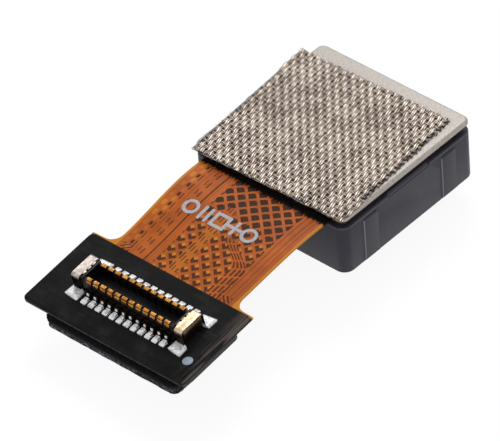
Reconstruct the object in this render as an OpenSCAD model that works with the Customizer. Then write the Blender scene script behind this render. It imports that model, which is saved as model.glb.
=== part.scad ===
// Compact camera module: a square lens holder on a rigid-flex board, with a
// short flexible tail that ends in a board-to-board plug.
// Millimetres. The optical axis is Z and the lens looks down. The origin is the
// middle of the lens barrel's front face, and the tail runs out along -Y.

/* [Housing] */
// Side of the square housing
housing_w = 8.28; // [8.1:0.02:9.4]
// Radius of the housing's upright corners
housing_corner_r = 0.5; // [0.3:0.05:0.8]
// Wall round the sensor chamber
housing_wall = 0.62; // [0.45:0.01:0.7]
// Depth of the sensor chamber
chamber_depth = 0.87; // [0.7:0.01:1.2]
// Thickness of the shelf between the lens bore and the filter
shelf_t = 0.2; // [0.12:0.01:0.4]
// Chamfer round the housing's back rim
rim_chamfer = 0.1; // [0.04:0.01:0.15]
// Width of each upright rib on the housing's sides
rib_w = 0.92; // [0.5:0.02:1.3]
// Distance between the middles of the two ribs of a side
rib_spacing = 4.95; // [3.6:0.05:5.4]
// How far a rib stands proud of the side
rib_proud = 0.05; // [0.02:0.01:0.12]
// Length of the sloped relief in the rim between the ribs
relief_len = 2.6; // [1.5:0.1:3.2]

/* [Lens] */
// Radius of the barrel's head, which passes through the mating bracket
barrel_r = 3.1; // [2.95:0.05:3.4]
// How far the barrel's head stands out of the housing
barrel_out = 1; // [0.6:0.05:1.2]
// Step from the barrel's head down to its threaded part
barrel_step = 0.18; // [0.16:0.01:0.25]
// Chamfer at the barrel's front edge
barrel_chamfer = 0.1; // [0.05:0.01:0.2]
// Wall in front of the first lens
front_wall = 0.45; // [0.35:0.01:0.6]
// Radius of the aperture in the front wall
aperture_r = 1; // [0.8:0.05:1.15]
// Radius of the cone's mouth in the front face
mouth_r = 1.85; // [1.4:0.05:2.2]
// Radius of the first lens's rim
lens_front_r = 1.45; // [1.35:0.01:1.55]
// How much wider each lens is than the one in front
lens_step = 0.32; // [0.2:0.01:0.36]
// Rise of the first lens's front face above its rim
lens_rise = 0.28; // [0.15:0.01:0.33]
// Thickness of a lens's rim
lens_rim_t = 0.3; // [0.26:0.01:0.36]
// Thickness of the light-shield rings between lenses
spacer_t = 0.02; // [0.01:0.005:0.05]
// Thickness of the ring that holds the lenses in
retainer_t = 0.2; // [0.12:0.01:0.3]

/* [Image sensor] */
// Length of the sensor die along X
die_w = 5.2; // [4.4:0.05:5.6]
// Width of the sensor die along Y
die_d = 4.4; // [3.6:0.05:4.8]
// Thickness of the sensor die
die_t = 0.2; // [0.12:0.01:0.3]
// Side of the square infrared filter
filter_w = 5.5; // [5:0.05:5.8]
// Thickness of the infrared filter
filter_t = 0.21; // [0.15:0.01:0.35]
// Bond wires along each short side of the die
wires_per_side = 14; // [6:1:18]
// Chip capacitors along each long side of the die
caps_per_side = 4; // [2:1:5]
// Length of a chip capacitor
chip_l = 0.6; // [0.4:0.05:0.7]
// Width of a chip capacitor
chip_w = 0.3; // [0.2:0.02:0.4]
// Height of a chip capacitor
chip_h = 0.28; // [0.16:0.01:0.4]

/* [Board and back plate] */
// Thickness of the rigid layer that carries the sensor
front_laminate_t = 0.1; // [0.08:0.01:0.2]
// Thickness of the flexible circuit
flex_t = 0.1; // [0.08:0.01:0.16]
// Thickness of the rigid layer behind the flexible circuit
back_laminate_t = 0.12; // [0.08:0.01:0.2]
// How far the back plate stands in from each side of the housing
plate_inset = 0.055; // [0.02:0.005:0.15]
// Sheet thickness of the back plate
plate_t = 0.16; // [0.1:0.01:0.2]
// Depth of the back plate's turned-down rim
plate_rim = 0.23; // [0.18:0.01:0.26]
// Radius of the back plate's corners
plate_corner_r = 0.32; // [0.25:0.01:0.5]
// Radius of the bend round the back plate's edge
plate_bend_r = 0.13; // [0.06:0.01:0.15]
// Length of the conductive cloth across the tail
cloth_w = 7.92; // [7:0.05:8]
// Length of the conductive cloth along the tail
cloth_d = 7.64; // [7:0.05:8]
// Thickness of the conductive cloth
cloth_t = 0.1; // [0.06:0.01:0.16]
// Angle by which the cloth was stuck on askew
cloth_turn = 1.6; // [0:0.1:3]
// Angle by which the cloth was cut out of square
cloth_skew = 2.7; // [0:0.1:4]

/* [Tail] */
// Width of the flexible tail
tail_w = 6.7; // [5.5:0.05:7]
// How far the tail runs straight out of the housing before it bends
tail_straight = 0.86; // [0.5:0.02:1.4]
// Distance from the optical axis to the middle of the plug
head_reach = 12.125; // [11.6:0.05:14]
// How much lower the plug's seat lies than the tail at the housing
head_drop = 0.946; // [0.5:0.02:1.4]
// Forward tilt of the plug's seat
head_pitch = 8.56; // [4:0.1:12]
// Sideways tilt of the plug's seat
head_roll = -2.3; // [-4:0.1:4]
// Turn of the plug's seat about the vertical
head_yaw = -1.5; // [-3:0.1:3]
// Width of the head that carries the plug
head_w = 9; // [8.4:0.05:10]
// Length of the head along the tail
head_d = 4.3; // [3.8:0.05:5]
// Radius of the fillets where the tail widens into the head
neck_fillet = 0.55; // [0.2:0.05:0.8]
// Radius of the head's outer corners
head_corner_r = 0.25; // [0.15:0.05:0.6]
// Thickness of the black cover film on the head
cover_t = 0.04; // [0.02:0.01:0.08]
// Thickness of the stiffener under the head
stiffener_t = 0.22; // [0.12:0.01:0.35]
// Thickness of the foam pad under the stiffener
foam_t = 0.5; // [0.3:0.05:0.9]
// Width of the foam pad across the tail
foam_w = 7.5; // [6.6:0.05:8]
// Length of the foam pad along the tail
foam_d = 3.85; // [3.2:0.05:4.1]

/* [Plug] */
// Contacts in each of the two rows
contacts_per_row = 12; // [8:1:12]
// Distance between neighbouring contacts
contact_pitch = 0.4; // [0.35:0.01:0.42]
// Width of a contact
contact_w = 0.26; // [0.18:0.01:0.3]
// Thickness of the contacts' metal
contact_t = 0.06; // [0.04:0.005:0.07]
// Height of the plug over its seat
plug_h = 0.87; // [0.7:0.01:1.1]
// Distance between the two rows' walls, middle to middle
wall_spacing = 0.9; // [0.85:0.01:1.1]
// Thickness of the plug's long walls
wall_t = 0.2; // [0.16:0.01:0.24]
// Distance from the plug's middle to the ends of its solder tails
tail_end = 1.1; // [0.95:0.01:1.3]
// Thickness of the plug's end walls
end_wall_t = 0.17; // [0.12:0.01:0.25]
// Length of a metal end fitting along the plug
fitting_l = 0.42; // [0.34:0.01:0.5]
// Thickness of the end fittings' metal
fitting_t = 0.08; // [0.05:0.01:0.1]

/* [Hidden] */

$fn = 48;
overlap = 0.01;             // how far a cutting shape runs past the face it cuts

// Fits and bond lines
lens_fit = 0.01;            // radial clearance of a lens or ring in the barrel
thread_fit = 0.03;          // radial clearance of the barrel in the housing
bond_t = 0.03;              // thickness of every glued joint
board_fit = 0.02;           // clearance of the board inside the plate's rim
filter_fit = 0.1;           // clearance round the filter in its pocket
plug_fit = 0.01;            // clearance between the plug's metal and plastic

// Heights, from the barrel's front face towards the back
lens_count = 4;
shield_w = 0.1;             // width of a light-shield ring
rear_lip = 0.14;            // barrel behind the retaining ring
rear_gap = 0.1;             // between the barrel and the shelf
relief_margin = 0.12;       // how much deeper a rim relief goes than the chamfer
bead_inset = 0.1;           // from the rim's chamfer to the bead of glue
barrel_len = lens_z(lens_count) - spacer_t + retainer_t + rear_lip;
housing_z = barrel_out;
shelf_z = barrel_len + rear_gap;
pocket_z = shelf_z + shelf_t;
filter_z = pocket_z + bond_t;
chamber_z = filter_z + filter_t;
rim_z = chamber_z + chamber_depth;
board_z = rim_z + bond_t;
flex_z = board_z + front_laminate_t;
flex_top = flex_z + flex_t;
laminate_top = flex_top + back_laminate_t;
plate_z = laminate_top + bond_t;
plate_top = plate_z + plate_t;
cloth_z = plate_top + bond_t;

// Plan sizes of the square parts
plate_w = housing_w - 2 * plate_inset;
thread_r = barrel_r - barrel_step;
chamber_w = housing_w - 2 * housing_wall;
chamber_r = 0.3;
housing_foot = 0.06;        // chamfer round the housing's front edge
pocket_w = filter_w + 2 * filter_fit;
window_margin = 0.35;       // width of the ledge under the filter
board_w = plate_w - 2 * plate_t - 2 * board_fit;
board_r = plate_corner_r - 0.1;
cloth_x = -0.11;            // middle of the cloth
cloth_y = -0.56;
cloth_peek = 0.07;          // how far the adhesive shows past the cloth's left edge

// Shape of the four lenses: rise and ripple of the front and the back face
LENS_FACES = [[lens_rise, 0, -0.04, 0], [-0.05, 0.01, -0.07, 0],
    [0.02, 0, -0.05, 0], [-0.03, 0.01, -0.08, 0.1]];

// Tail and head
tail_x = 0.045;             // middle of the tail
neck_x = -0.09;             // middle of the tail where it meets the head
head_x = 0.083;             // middle of the plug
film_x = -0.15;             // middle of the head, from the plug's middle
film_y = -0.1;
film_peek = 0.08;           // how far the flexible layer shows past the cover film
bend_steps = 14;
round_steps = 5;
edge_step = 0.02;           // length over which the sheet's square shoulders widen

// Axes of the plug's seat, as turned by pitch, roll and yaw
seat_across = [cos(head_yaw) * cos(head_roll), sin(head_yaw) * cos(head_roll),
    -sin(head_roll)];
seat_along = [cos(head_yaw) * sin(head_roll) * sin(head_pitch)
        - sin(head_yaw) * cos(head_pitch),
    sin(head_yaw) * sin(head_roll) * sin(head_pitch) + cos(head_yaw) * cos(head_pitch),
    cos(head_roll) * sin(head_pitch)];
seat_up = cross(seat_across, seat_along);
seat_pos = [head_x, -head_reach, flex_top - head_drop];

// Plug sections, in the seat's own frame
row_y = wall_spacing / 2;
floor_h = 0.2;              // top of the plug's floor
wall_top = plug_h - contact_t - plug_fit;
row_len = (contacts_per_row - 1) * contact_pitch;
end_room = 0.12;            // floor between the last contact's pitch and the end wall
end_wall_x = row_len / 2 + contact_pitch / 2 + end_room;
plug_len = 2 * (end_wall_x + end_wall_t + fitting_l);
body_half_d = row_y + wall_t / 2;
leg_y = body_half_d + 2 * plug_fit; // inner face of an end fitting's legs
foot_out = 0.12;            // how far the body's foot and the contacts' heels stand out
pad_t = 0.04;               // thickness of the solder under a tail
pad_margin = 0.01;          // solder beside a contact's tail
corner_margin = 0.16;       // solder beside an end fitting's feet
foot_short = 0.05;          // how much sooner an end fitting's feet end than the tails
standoff = pad_t + plug_fit;  // gap under the plug's floor
fitting_tab = 0.08;         // how far an end fitting's tabs reach over the end wall

function lens_z(i) = front_wall + i * (lens_rim_t + spacer_t);
function seat_r(i) = lens_front_r + i * lens_step;
function optic_r(i) =
    i == 0 ? aperture_r - 5 * lens_fit : seat_r(i - 1) - shield_w - 2 * lens_fit;
function face_rise(rho, rise, ripple) =
    rise * (1 - rho * rho) + 4 * ripple * rho * rho * (1 - rho * rho);
function unit(v) = v / norm(v);
function seat_point(x, y, h) =
    seat_pos + x * seat_across + y * seat_along + h * seat_up;
function mix(a, b, t) = a + (b - a) * t;
function ease(t) = t * t * (3 - 2 * t);

// ---- shared shapes ----

module rounded_rect(w, d, r) {
    square([w - 2 * r, d], center = true);
    square([w, d - 2 * r], center = true);
    for (x = [-1, 1], y = [-1, 1])
        translate([x * (w / 2 - r), y * (d / 2 - r)]) circle(r = r);
}

module sheet(w, d, r, z, t) {
    translate([0, 0, z]) linear_extrude(t) rounded_rect(w, d, r);
}

module ring(r_out, r_in, z, t) {
    translate([0, 0, z]) difference() {
        cylinder(r = r_out, h = t);
        translate([0, 0, -overlap]) cylinder(r = r_in, h = t + 2 * overlap);
    }
}

// A rounded block whose edge section is the child: it runs from x = 0 to x = r
module edged_block(w, d, r, h) {
    for (side = [0:3]) {
        across = side % 2 == 0 ? w : d;
        along = side % 2 == 0 ? d : w;
        rotate(90 * side) translate([across / 2 - r, along / 2 - r, 0]) {
            rotate_extrude(angle = 90) children();
            rotate([90, 0, 0]) linear_extrude(along - 2 * r) children();
        }
    }
    translate([r - w / 2, r - d / 2, 0]) cube([w - 2 * r, d - 2 * r, h]);
}

// Places its children on the plug's seat
module on_seat() {
    translate(seat_pos) rotate([head_pitch, head_roll, head_yaw]) children();
}

// ---- lens barrel and lenses ----

module lens_barrel() {
    cone_z = front_wall - 0.1;
    grip_count = 6;
    grip_w = 0.5;
    grip_depth = 0.14;
    color([0.13, 0.13, 0.14]) difference() {
        rotate_extrude($fn = 96) polygon(concat(
            [[mouth_r, 0], [barrel_r - barrel_chamfer, 0], [barrel_r, barrel_chamfer],
                [barrel_r, barrel_out], [thread_r, barrel_out], [thread_r, barrel_len]],
            [for (i = [lens_count - 1:-1:0], back = [1, 0])
                [seat_r(i), back == 1 && i == lens_count - 1 ? barrel_len
                    : lens_z(i + back)]],
            [[aperture_r, lens_z(0)], [aperture_r, cone_z]]));
        for (i = [0:grip_count - 1])
            rotate(i * 360 / grip_count + 30)
                translate([barrel_r - grip_depth, -grip_w / 2, -overlap])
                    cube([grip_depth + overlap, grip_w, barrel_out / 2]);
    }
}

module lens(i) {
    steps = 10;
    shape = LENS_FACES[i];
    r_rim = seat_r(i) - lens_fit;
    front = [for (k = [0:steps]) let (rho = k / steps)
        [optic_r(i) * rho, lens_z(i) - face_rise(rho, shape[0], shape[1])]];
    back = [for (k = [steps:-1:0]) let (rho = k / steps)
        [optic_r(i) * rho, lens_z(i) + lens_rim_t + face_rise(rho, shape[2], shape[3])]];
    color([0.55, 0.62, 0.72, 0.6]) rotate_extrude($fn = 96) polygon(concat(
        front, [[r_rim, lens_z(i)], [r_rim, lens_z(i) + lens_rim_t]], back));
}

module lens_1() { lens(0); }
module lens_2() { lens(1); }
module lens_3() { lens(2); }
module lens_4() { lens(3); }

module light_shields() {
    color([0.05, 0.05, 0.05]) for (i = [0:lens_count - 2])
        ring(seat_r(i) - lens_fit, optic_r(i + 1) + lens_fit, lens_z(i) + lens_rim_t, spacer_t);
}

module lens_retainer() {
    last = lens_count - 1;
    color([0.1, 0.1, 0.1])
        ring(seat_r(last) - lens_fit, optic_r(last) + lens_fit,
            lens_z(last) + lens_rim_t, retainer_t);
}

// ---- housing ----

module housing_side_section() {
    h = rim_z - housing_z;
    polygon([[0, 0], [housing_corner_r - housing_foot, 0],
        [housing_corner_r, housing_foot],
        [housing_corner_r, h - rim_chamfer], [housing_corner_r - rim_chamfer, h],
        [0, h]]);
}

// One upright rib, with rounded shoulders, on the +X side
module side_rib(y) {
    shoulder_r = 0.15;
    rib_h = rim_z - housing_z - rim_chamfer - relief_margin;
    sink = 0.1;
    translate([housing_w / 2 - sink, y, housing_z + housing_foot]) rotate([90, 0, 90])
        linear_extrude(sink + rib_proud) {
            translate([-rib_w / 2, 0]) square([rib_w, rib_h - shoulder_r]);
            translate([-rib_w / 2 + shoulder_r, 0])
                square([rib_w - 2 * shoulder_r, rib_h]);
            for (s = [-1, 1]) translate([s * (rib_w / 2 - shoulder_r), rib_h - shoulder_r])
                circle(r = shoulder_r);
        }
}

// The sloped relief that is cut into the rim over the middle of a side
module rim_relief() {
    drop = rim_chamfer + relief_margin;
    inset = rim_chamfer + bead_inset / 2;
    translate([housing_w / 2, relief_len / 2, rim_z]) rotate([90, 0, 0])
        linear_extrude(relief_len)
            polygon([[overlap, -drop], [overlap, overlap], [-inset, overlap], [-inset, 0],
                [0, -drop]]);
}

module housing() {
    window_w = filter_w - 2 * window_margin;
    color([0.29, 0.29, 0.31]) difference() {
        union() {
            translate([0, 0, housing_z])
                edged_block(housing_w, housing_w, housing_corner_r, rim_z - housing_z)
                    housing_side_section();
            for (turn = [0, 180], s = [-1, 1])
                rotate(turn) side_rib(s * rib_spacing / 2);
        }
        for (turn = [0, 180]) rotate(turn) rim_relief();
        sheet(chamber_w, chamber_w, chamber_r, chamber_z, rim_z - chamber_z + overlap);
        sheet(pocket_w, pocket_w, chamber_r, pocket_z, rim_z - pocket_z);
        sheet(window_w, window_w, chamber_r, shelf_z - overlap, shelf_t + 2 * overlap);
        translate([0, 0, housing_z - overlap])
            cylinder(r = thread_r + thread_fit, h = shelf_z - housing_z + overlap, $fn = 96);
    }
}

module filter_bond() {
    color([0.12, 0.1, 0.1]) difference() {
        sheet(filter_w, filter_w, chamber_r - filter_fit, pocket_z, bond_t);
        sheet(filter_w - 2 * window_margin, filter_w - 2 * window_margin, chamber_r,
            pocket_z - overlap, bond_t + 2 * overlap);
    }
}

module infrared_filter() {
    color([0.55, 0.8, 0.85, 0.5])
        sheet(filter_w, filter_w, chamber_r - filter_fit, filter_z, filter_t);
}

// The bead between housing and board, left open at one place as a vent
module holder_bond() {
    vent_w = 0.6;
    color([0.1, 0.1, 0.1]) difference() {
        sheet(board_w, board_w, board_r, rim_z, bond_t);
        sheet(chamber_w, chamber_w, chamber_r, rim_z - overlap, bond_t + 2 * overlap);
        translate([-vent_w / 2, chamber_w / 2 - overlap, rim_z - overlap])
            cube([vent_w, housing_w, bond_t + 2 * overlap]);
        relief_keepout();
    }
}

// Keeps the bead clear of the reliefs in the rim
module relief_keepout() {
    for (turn = [0, 180]) rotate(turn)
        translate([housing_w / 2 - rim_chamfer - bead_inset, -relief_len / 2, rim_z - overlap])
            cube([housing_w, relief_len, bond_t + 2 * overlap]);
}

// ---- sensor and board ----

module image_sensor() {
    array_w = die_w - 0.7;
    array_d = die_d - 0.7;
    array_sink = 0.02;
    color([0.25, 0.3, 0.36]) difference() {
        translate([-die_w / 2, -die_d / 2, board_z - die_t]) cube([die_w, die_d, die_t]);
        translate([-array_w / 2, -array_d / 2, board_z - die_t - overlap])
            cube([array_w, array_d, array_sink + overlap]);
    }
}

// One wire loop in the XZ plane, from the die's edge out to the board
module wire_loop() {
    wire = 0.025;
    reach = 0.42;
    loop_rise = 0.12;
    steps = 6;
    drop = die_t;
    path = [for (k = [0:steps]) let (t = k / steps)
        [reach * t, -drop - loop_rise * sin(180 * t) + drop * ease(t)]];
    rotate([90, 0, 0]) translate([0, 0, -wire / 2]) linear_extrude(wire)
        polygon(concat(path, [for (k = [steps:-1:0]) path[k] - [0, wire]]));
}

module bond_wires() {
    inset = 0.06;
    span = die_d - 0.6;
    color([0.85, 0.65, 0.2]) for (turn = [0, 180], k = [0:wires_per_side - 1])
        rotate(turn)
            translate([die_w / 2 - inset, (k / (wires_per_side - 1) - 0.5) * span, board_z])
                wire_loop();
}

module chip_capacitors() {
    cap_l = chip_l / 4;
    plating = 0.01;
    chip_y = (die_d / 2 + chamber_w / 2) / 2;
    pitch = die_w / caps_per_side;
    color([0.62, 0.5, 0.38]) for (s = [-1, 1], k = [0:caps_per_side - 1])
        translate([(k - (caps_per_side - 1) / 2) * pitch, s * chip_y, board_z - chip_h]) {
            translate([-chip_l / 2, plating - chip_w / 2, plating])
                cube([chip_l, chip_w - 2 * plating, chip_h - plating]);
            for (e = [-1, 1])
                translate([e * (chip_l - cap_l) / 2 - cap_l / 2, -chip_w / 2, 0])
                    cube([cap_l, chip_w, chip_h]);
        }
}

module sensor_board() {
    color([0.12, 0.2, 0.14]) sheet(board_w, board_w, board_r, board_z, front_laminate_t);
}

module back_laminate() {
    color([0.12, 0.2, 0.14]) sheet(board_w, board_w, board_r, flex_top, back_laminate_t);
}

// ---- flexible circuit: one sheet, drawn as stations along its middle line ----

// Half width at a distance d past the edge of a wider part, inside the fillet
function flare(d, r) = d >= r ? 0 : r - sqrt(r * r - (r - d) * (r - d));

// A station: middle of the top face, direction across, upward normal, and the
// distances to the left and right edges
function board_station(y, half) = [[tail_x, y, flex_top], [1, 0, 0], [0, 0, 1],
    half + tail_x, half - tail_x];
function tail_station(y, half) = [[tail_x, y, flex_top], [1, 0, 0], [0, 0, 1], half, half];
function head_station(y, left, right) = [seat_point(neck_x, y, -cover_t), seat_across,
    seat_up, left, right];

// The free bend: a cubic between the straight part and the head
function bend_station(t) =
    let (p0 = [tail_x, bend_y, flex_top], p1 = seat_point(neck_x, neck_y, -cover_t),
        pull = norm(p1 - p0), m0 = [0, -pull, 0], m1 = -pull * seat_along,
        p = (2 * t * t * t - 3 * t * t + 1) * p0 + (t * t * t - 2 * t * t + t) * m0
            + (3 * t * t - 2 * t * t * t) * p1 + (t * t * t - t * t) * m1,
        v = (6 * t * t - 6 * t) * (p0 - p1) + (3 * t * t - 4 * t + 1) * m0
            + (3 * t * t - 2 * t) * m1,
        flat = mix([1, 0, 0], seat_across, ease(t)),
        up = unit(cross(v, flat)), across = unit(cross(up, v)))
    [p, across, up, tail_w / 2, tail_w / 2];

bend_y = -housing_w / 2 - tail_straight;
neck_y = head_d / 2 + film_y + film_peek + neck_fillet;
head_back = head_d / 2 + film_y + film_peek;
head_front = film_y - head_d / 2;
head_left = head_w / 2 - film_x + neck_x;
head_right = head_w / 2 + film_x - neck_x;

FLEX = concat(
    [board_station(board_w / 2, board_w / 2), board_station(-board_w / 2, board_w / 2)],
    [tail_station(-board_w / 2 - edge_step, tail_w / 2)],
    [for (k = [0:bend_steps]) bend_station(k / bend_steps)],
    [for (k = [1:round_steps]) let (a = 90 * k / round_steps,
        d = neck_fillet * (1 - sin(a)), w = tail_w / 2 + neck_fillet * (1 - cos(a)))
        head_station(head_back + d, w, w)],
    [head_station(head_back - edge_step, head_left, head_right)],
    [for (k = [0:round_steps]) let (a = 90 * k / round_steps,
        d = head_corner_r * (1 - sin(a)), inset = head_corner_r * (1 - cos(a)))
        head_station(head_front + d, head_left - inset, head_right - inset)]);

module flex_circuit() {
    n = len(FLEX);
    points = [for (s = FLEX, up = [0, 1], side = [-1, 1])
        s[0] + side * (side < 0 ? s[3] : s[4]) * s[1] - (up == 0 ? flex_t : 0) * s[2]];
    // Four corners a station: bottom left, bottom right, top left, top right
    order = [0, 2, 3, 1];
    walls = [for (i = [0:n - 2], e = [0:3])
        let (a = 4 * i + order[e], b = 4 * i + order[(e + 1) % 4])
        each [[a, b, b + 4], [a, b + 4, a + 4]]];
    ends = [[0, 1, 3], [0, 3, 2],
        [4 * n - 4, 4 * n - 2, 4 * n - 1], [4 * n - 4, 4 * n - 1, 4 * n - 3]];
    color([0.72, 0.42, 0.16]) polyhedron(points, concat(walls, ends), convexity = 4);
}

// ---- back plate and cloth ----

module plate_adhesive() {
    inner_w = plate_w - 2 * plate_t;
    color([0.2, 0.2, 0.2])
        sheet(inner_w - 2 * board_fit, inner_w - 2 * board_fit, board_r, laminate_top,
            bond_t);
}

module plate_section() {
    square([plate_corner_r, plate_rim - plate_bend_r]);
    square([plate_corner_r - plate_bend_r, plate_rim]);
    translate([plate_corner_r - plate_bend_r, plate_rim - plate_bend_r])
        circle(r = plate_bend_r);
}

module back_plate() {
    inner_w = plate_w - 2 * plate_t;
    color([0.78, 0.75, 0.7]) difference() {
        translate([0, 0, plate_top - plate_rim])
            edged_block(plate_w, plate_w, plate_corner_r, plate_rim)
                intersection() {
                    plate_section();
                    square([plate_corner_r, plate_rim]);
                }
        sheet(inner_w, inner_w, board_r + board_fit, plate_top - plate_rim - overlap,
            plate_rim - plate_t + overlap);
    }
}

module cloth_outline(grow_left) {
    lean = tan(cloth_skew) * cloth_d / 2;
    translate([cloth_x, cloth_y]) rotate(cloth_turn)
        polygon([[lean - cloth_w / 2 - grow_left, -cloth_d / 2],
            [lean + cloth_w / 2, -cloth_d / 2], [cloth_w / 2 - lean, cloth_d / 2],
            [-lean - cloth_w / 2 - grow_left, cloth_d / 2]]);
}

module cloth_adhesive() {
    color([0.9, 0.9, 0.88, 0.8])
        translate([0, 0, plate_top]) linear_extrude(bond_t) cloth_outline(cloth_peek);
}

module grounding_cloth() {
    color([0.72, 0.65, 0.56])
        translate([0, 0, cloth_z]) linear_extrude(cloth_t) cloth_outline(0);
}

// ---- head of the tail ----

module cover_film() {
    color([0.12, 0.12, 0.13]) on_seat()
        translate([film_x, film_y, 0]) sheet(head_w, head_d, head_corner_r, -cover_t, cover_t);
}

// Left, right, front and back insets of the stiffener from the head's edge
stiffener_inset = [1.2, 0, 0.3, 0.5];
stiffener_r = 0.3;
foam_r = 0.4;
foam_x = 0.25;
foam_y = -0.475;
stiffener_top = -cover_t - flex_t;
foam_top = stiffener_top - stiffener_t - bond_t;

module stiffener() {
    w = head_w - stiffener_inset[0] - stiffener_inset[1];
    d = head_d - stiffener_inset[2] - stiffener_inset[3];
    color([0.1, 0.1, 0.1]) on_seat()
        translate([film_x + (stiffener_inset[0] - stiffener_inset[1]) / 2,
            film_y + (stiffener_inset[2] - stiffener_inset[3]) / 2, 0])
            sheet(w, d, stiffener_r, stiffener_top - stiffener_t, stiffener_t);
}

module foam_adhesive() {
    margin = 0.2;
    color([0.25, 0.25, 0.25]) on_seat() translate([foam_x, foam_y + margin, 0])
        sheet(foam_w - 4 * margin, foam_d - 3 * margin, foam_r - margin, foam_top, bond_t);
}

module foam_pad() {
    color([0.08, 0.08, 0.08]) on_seat() translate([foam_x, foam_y, 0])
        sheet(foam_w, foam_d, foam_r, foam_top - foam_t, foam_t);
}

// ---- board-to-board plug ----

// Half section of the plug's body across the rows, for y over 0
module body_section() {
    foot_y = body_half_d + foot_out;
    foot_h = 0.14;
    top_r = wall_t / 2 - plug_fit;
    translate([0, standoff]) square([foot_y, foot_h]);
    translate([0, standoff]) square([body_half_d, floor_h - standoff]);
    translate([row_y - wall_t / 2, floor_h - overlap])
        square([wall_t, wall_top - top_r - floor_h + overlap]);
    translate([row_y - top_r, floor_h]) square([2 * top_r, wall_top - top_r - floor_h]);
    translate([row_y, wall_top - top_r]) circle(r = top_r);
}

module plug_body() {
    mid_len = 2 * end_wall_x;
    end_len = end_wall_t + fitting_l - fitting_t - plug_fit;
    end_h = plug_h - fitting_t - plug_fit;
    rim_w = end_wall_t - fitting_tab - plug_fit;
    rim_h = plug_h - 2 * plug_fit;
    slot_w = contact_w + 2 * plug_fit;
    color([0.09, 0.09, 0.1]) on_seat() {
        difference() {
            rotate([90, 0, 90]) translate([0, 0, -mid_len / 2]) linear_extrude(mid_len) {
                body_section();
                mirror([1, 0]) body_section();
            }
            for (k = [0:contacts_per_row - 1], s = [-1, 1])
                translate([contact_x(k), s * row_y, 0]) contact_slot(slot_w);
        }
        for (s = [-1, 1]) {
            translate([s * (end_wall_x + end_len / 2), 0, standoff + (end_h - standoff) / 2])
                cube([end_len, 2 * body_half_d, end_h - standoff], center = true);
            translate([s * (end_wall_x + rim_w / 2), 0, (end_h + rim_h) / 2])
                cube([rim_w, 2 * body_half_d, rim_h - end_h], center = true);
        }
    }
}

function contact_x(k) = (k - (contacts_per_row - 1) / 2) * contact_pitch;

// The channel in a long wall that one contact wraps round
module contact_slot(slot_w) {
    side = contact_t + plug_fit;
    cut_h = plug_h - floor_h + overlap;
    for (s = [-1, 1])
        translate([-slot_w / 2, s > 0 ? wall_t / 2 - side : -wall_t / 2 - overlap, floor_h])
            cube([slot_w, side + overlap, cut_h]);
}

// One contact of the +Y row in the YH plane: inner leg, crown, outer leg with
// its latch, and the solder tail
module contact_section() {
    y_in = row_y - wall_t / 2;
    y_out = row_y + wall_t / 2;
    crown_r = wall_t / 2;
    crown_h = plug_h - crown_r;
    latch_h = plug_h - 0.3;
    latch_r = 0.045;
    heel_h = floor_h + overlap;
    inner_h = floor_h + plug_fit;
    difference() {
        union() {
            translate([y_in, inner_h]) square([wall_t, crown_h - inner_h]);
            translate([row_y, crown_h]) circle(r = crown_r);
            translate([y_out, latch_h]) circle(r = latch_r);
        }
        translate([y_in + contact_t, inner_h - overlap])
            square([wall_t - 2 * contact_t, crown_h - inner_h + overlap]);
        translate([row_y, crown_h]) circle(r = crown_r - contact_t);
    }
    outer_heel = body_half_d + foot_out + plug_fit;
    translate([y_out - contact_t, heel_h]) square([outer_heel - y_out + 2 * contact_t, contact_t]);
    translate([outer_heel, pad_t]) square([contact_t, heel_h + contact_t - pad_t]);
    translate([outer_heel, pad_t]) square([tail_end - outer_heel, contact_t]);
}

module contact_row() {
    for (k = [0:contacts_per_row - 1])
        translate([contact_x(k) - contact_w / 2, 0, 0])
            rotate([90, 0, 90]) linear_extrude(contact_w) contact_section();
}

module contacts_front() {
    color([0.86, 0.64, 0.22]) on_seat() mirror([0, 1, 0]) contact_row();
}

module contacts_back() {
    color([0.86, 0.64, 0.22]) on_seat() contact_row();
}

// The metal cap on the plug's +X end: an arch over the body, with a skirt
module end_fitting() {
    arch_half = leg_y + fitting_t;
    foot_end = tail_end - foot_short;
    skirt_h = 0.5;
    x0 = end_wall_x + end_wall_t;
    top_x = x0 + fitting_l;
    bend_r = fitting_t;
    translate([x0, 0, 0]) rotate([90, 0, 90]) linear_extrude(fitting_l) {
        for (s = [-1, 1]) {
            translate([s * (leg_y + fitting_t / 2) - fitting_t / 2, pad_t])
                square([fitting_t, plug_h - bend_r - pad_t]);
            translate([s > 0 ? leg_y : -foot_end, pad_t])
                square([foot_end - leg_y, fitting_t]);
            translate([s * (arch_half - bend_r), plug_h - bend_r]) intersection() {
                circle(r = bend_r);
                translate([s > 0 ? 0 : -bend_r, 0]) square(bend_r);
            }
        }
        translate([bend_r - arch_half, plug_h - fitting_t])
            square([2 * (arch_half - bend_r), fitting_t]);
    }
    translate([top_x - fitting_t, -leg_y, plug_h - skirt_h])
        cube([fitting_t, 2 * leg_y, skirt_h - overlap]);
    for (s = [-1, 1])
        translate([x0 - fitting_tab, s * leg_y * 0.5 - 0.1, plug_h - fitting_t + 0.01])
            cube([fitting_tab + overlap, 0.2, fitting_t - 0.01]);
}

module end_fitting_left() {
    color([0.8, 0.77, 0.7]) on_seat() mirror([1, 0, 0]) end_fitting();
}

module end_fitting_right() {
    color([0.8, 0.77, 0.7]) on_seat() end_fitting();
}

// A wetted solder pad: flat under the tail, with a fillet up its end
module solder_pad(y_from, y_to, metal_t) {
    toe = 0.08;
    polygon([[y_from, 0], [y_to + toe, 0], [y_to + toe, pad_t * 0.6],
        [y_to, pad_t + metal_t * 0.7], [y_to, pad_t], [y_from, pad_t]]);
}

module solder_row() {
    pad_w = contact_w + 2 * pad_margin;
    for (k = [0:contacts_per_row - 1])
        translate([contact_x(k) - pad_w / 2, 0, 0]) rotate([90, 0, 90])
            linear_extrude(pad_w)
                solder_pad(body_half_d + foot_out + plug_fit, tail_end, contact_t);
}

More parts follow.
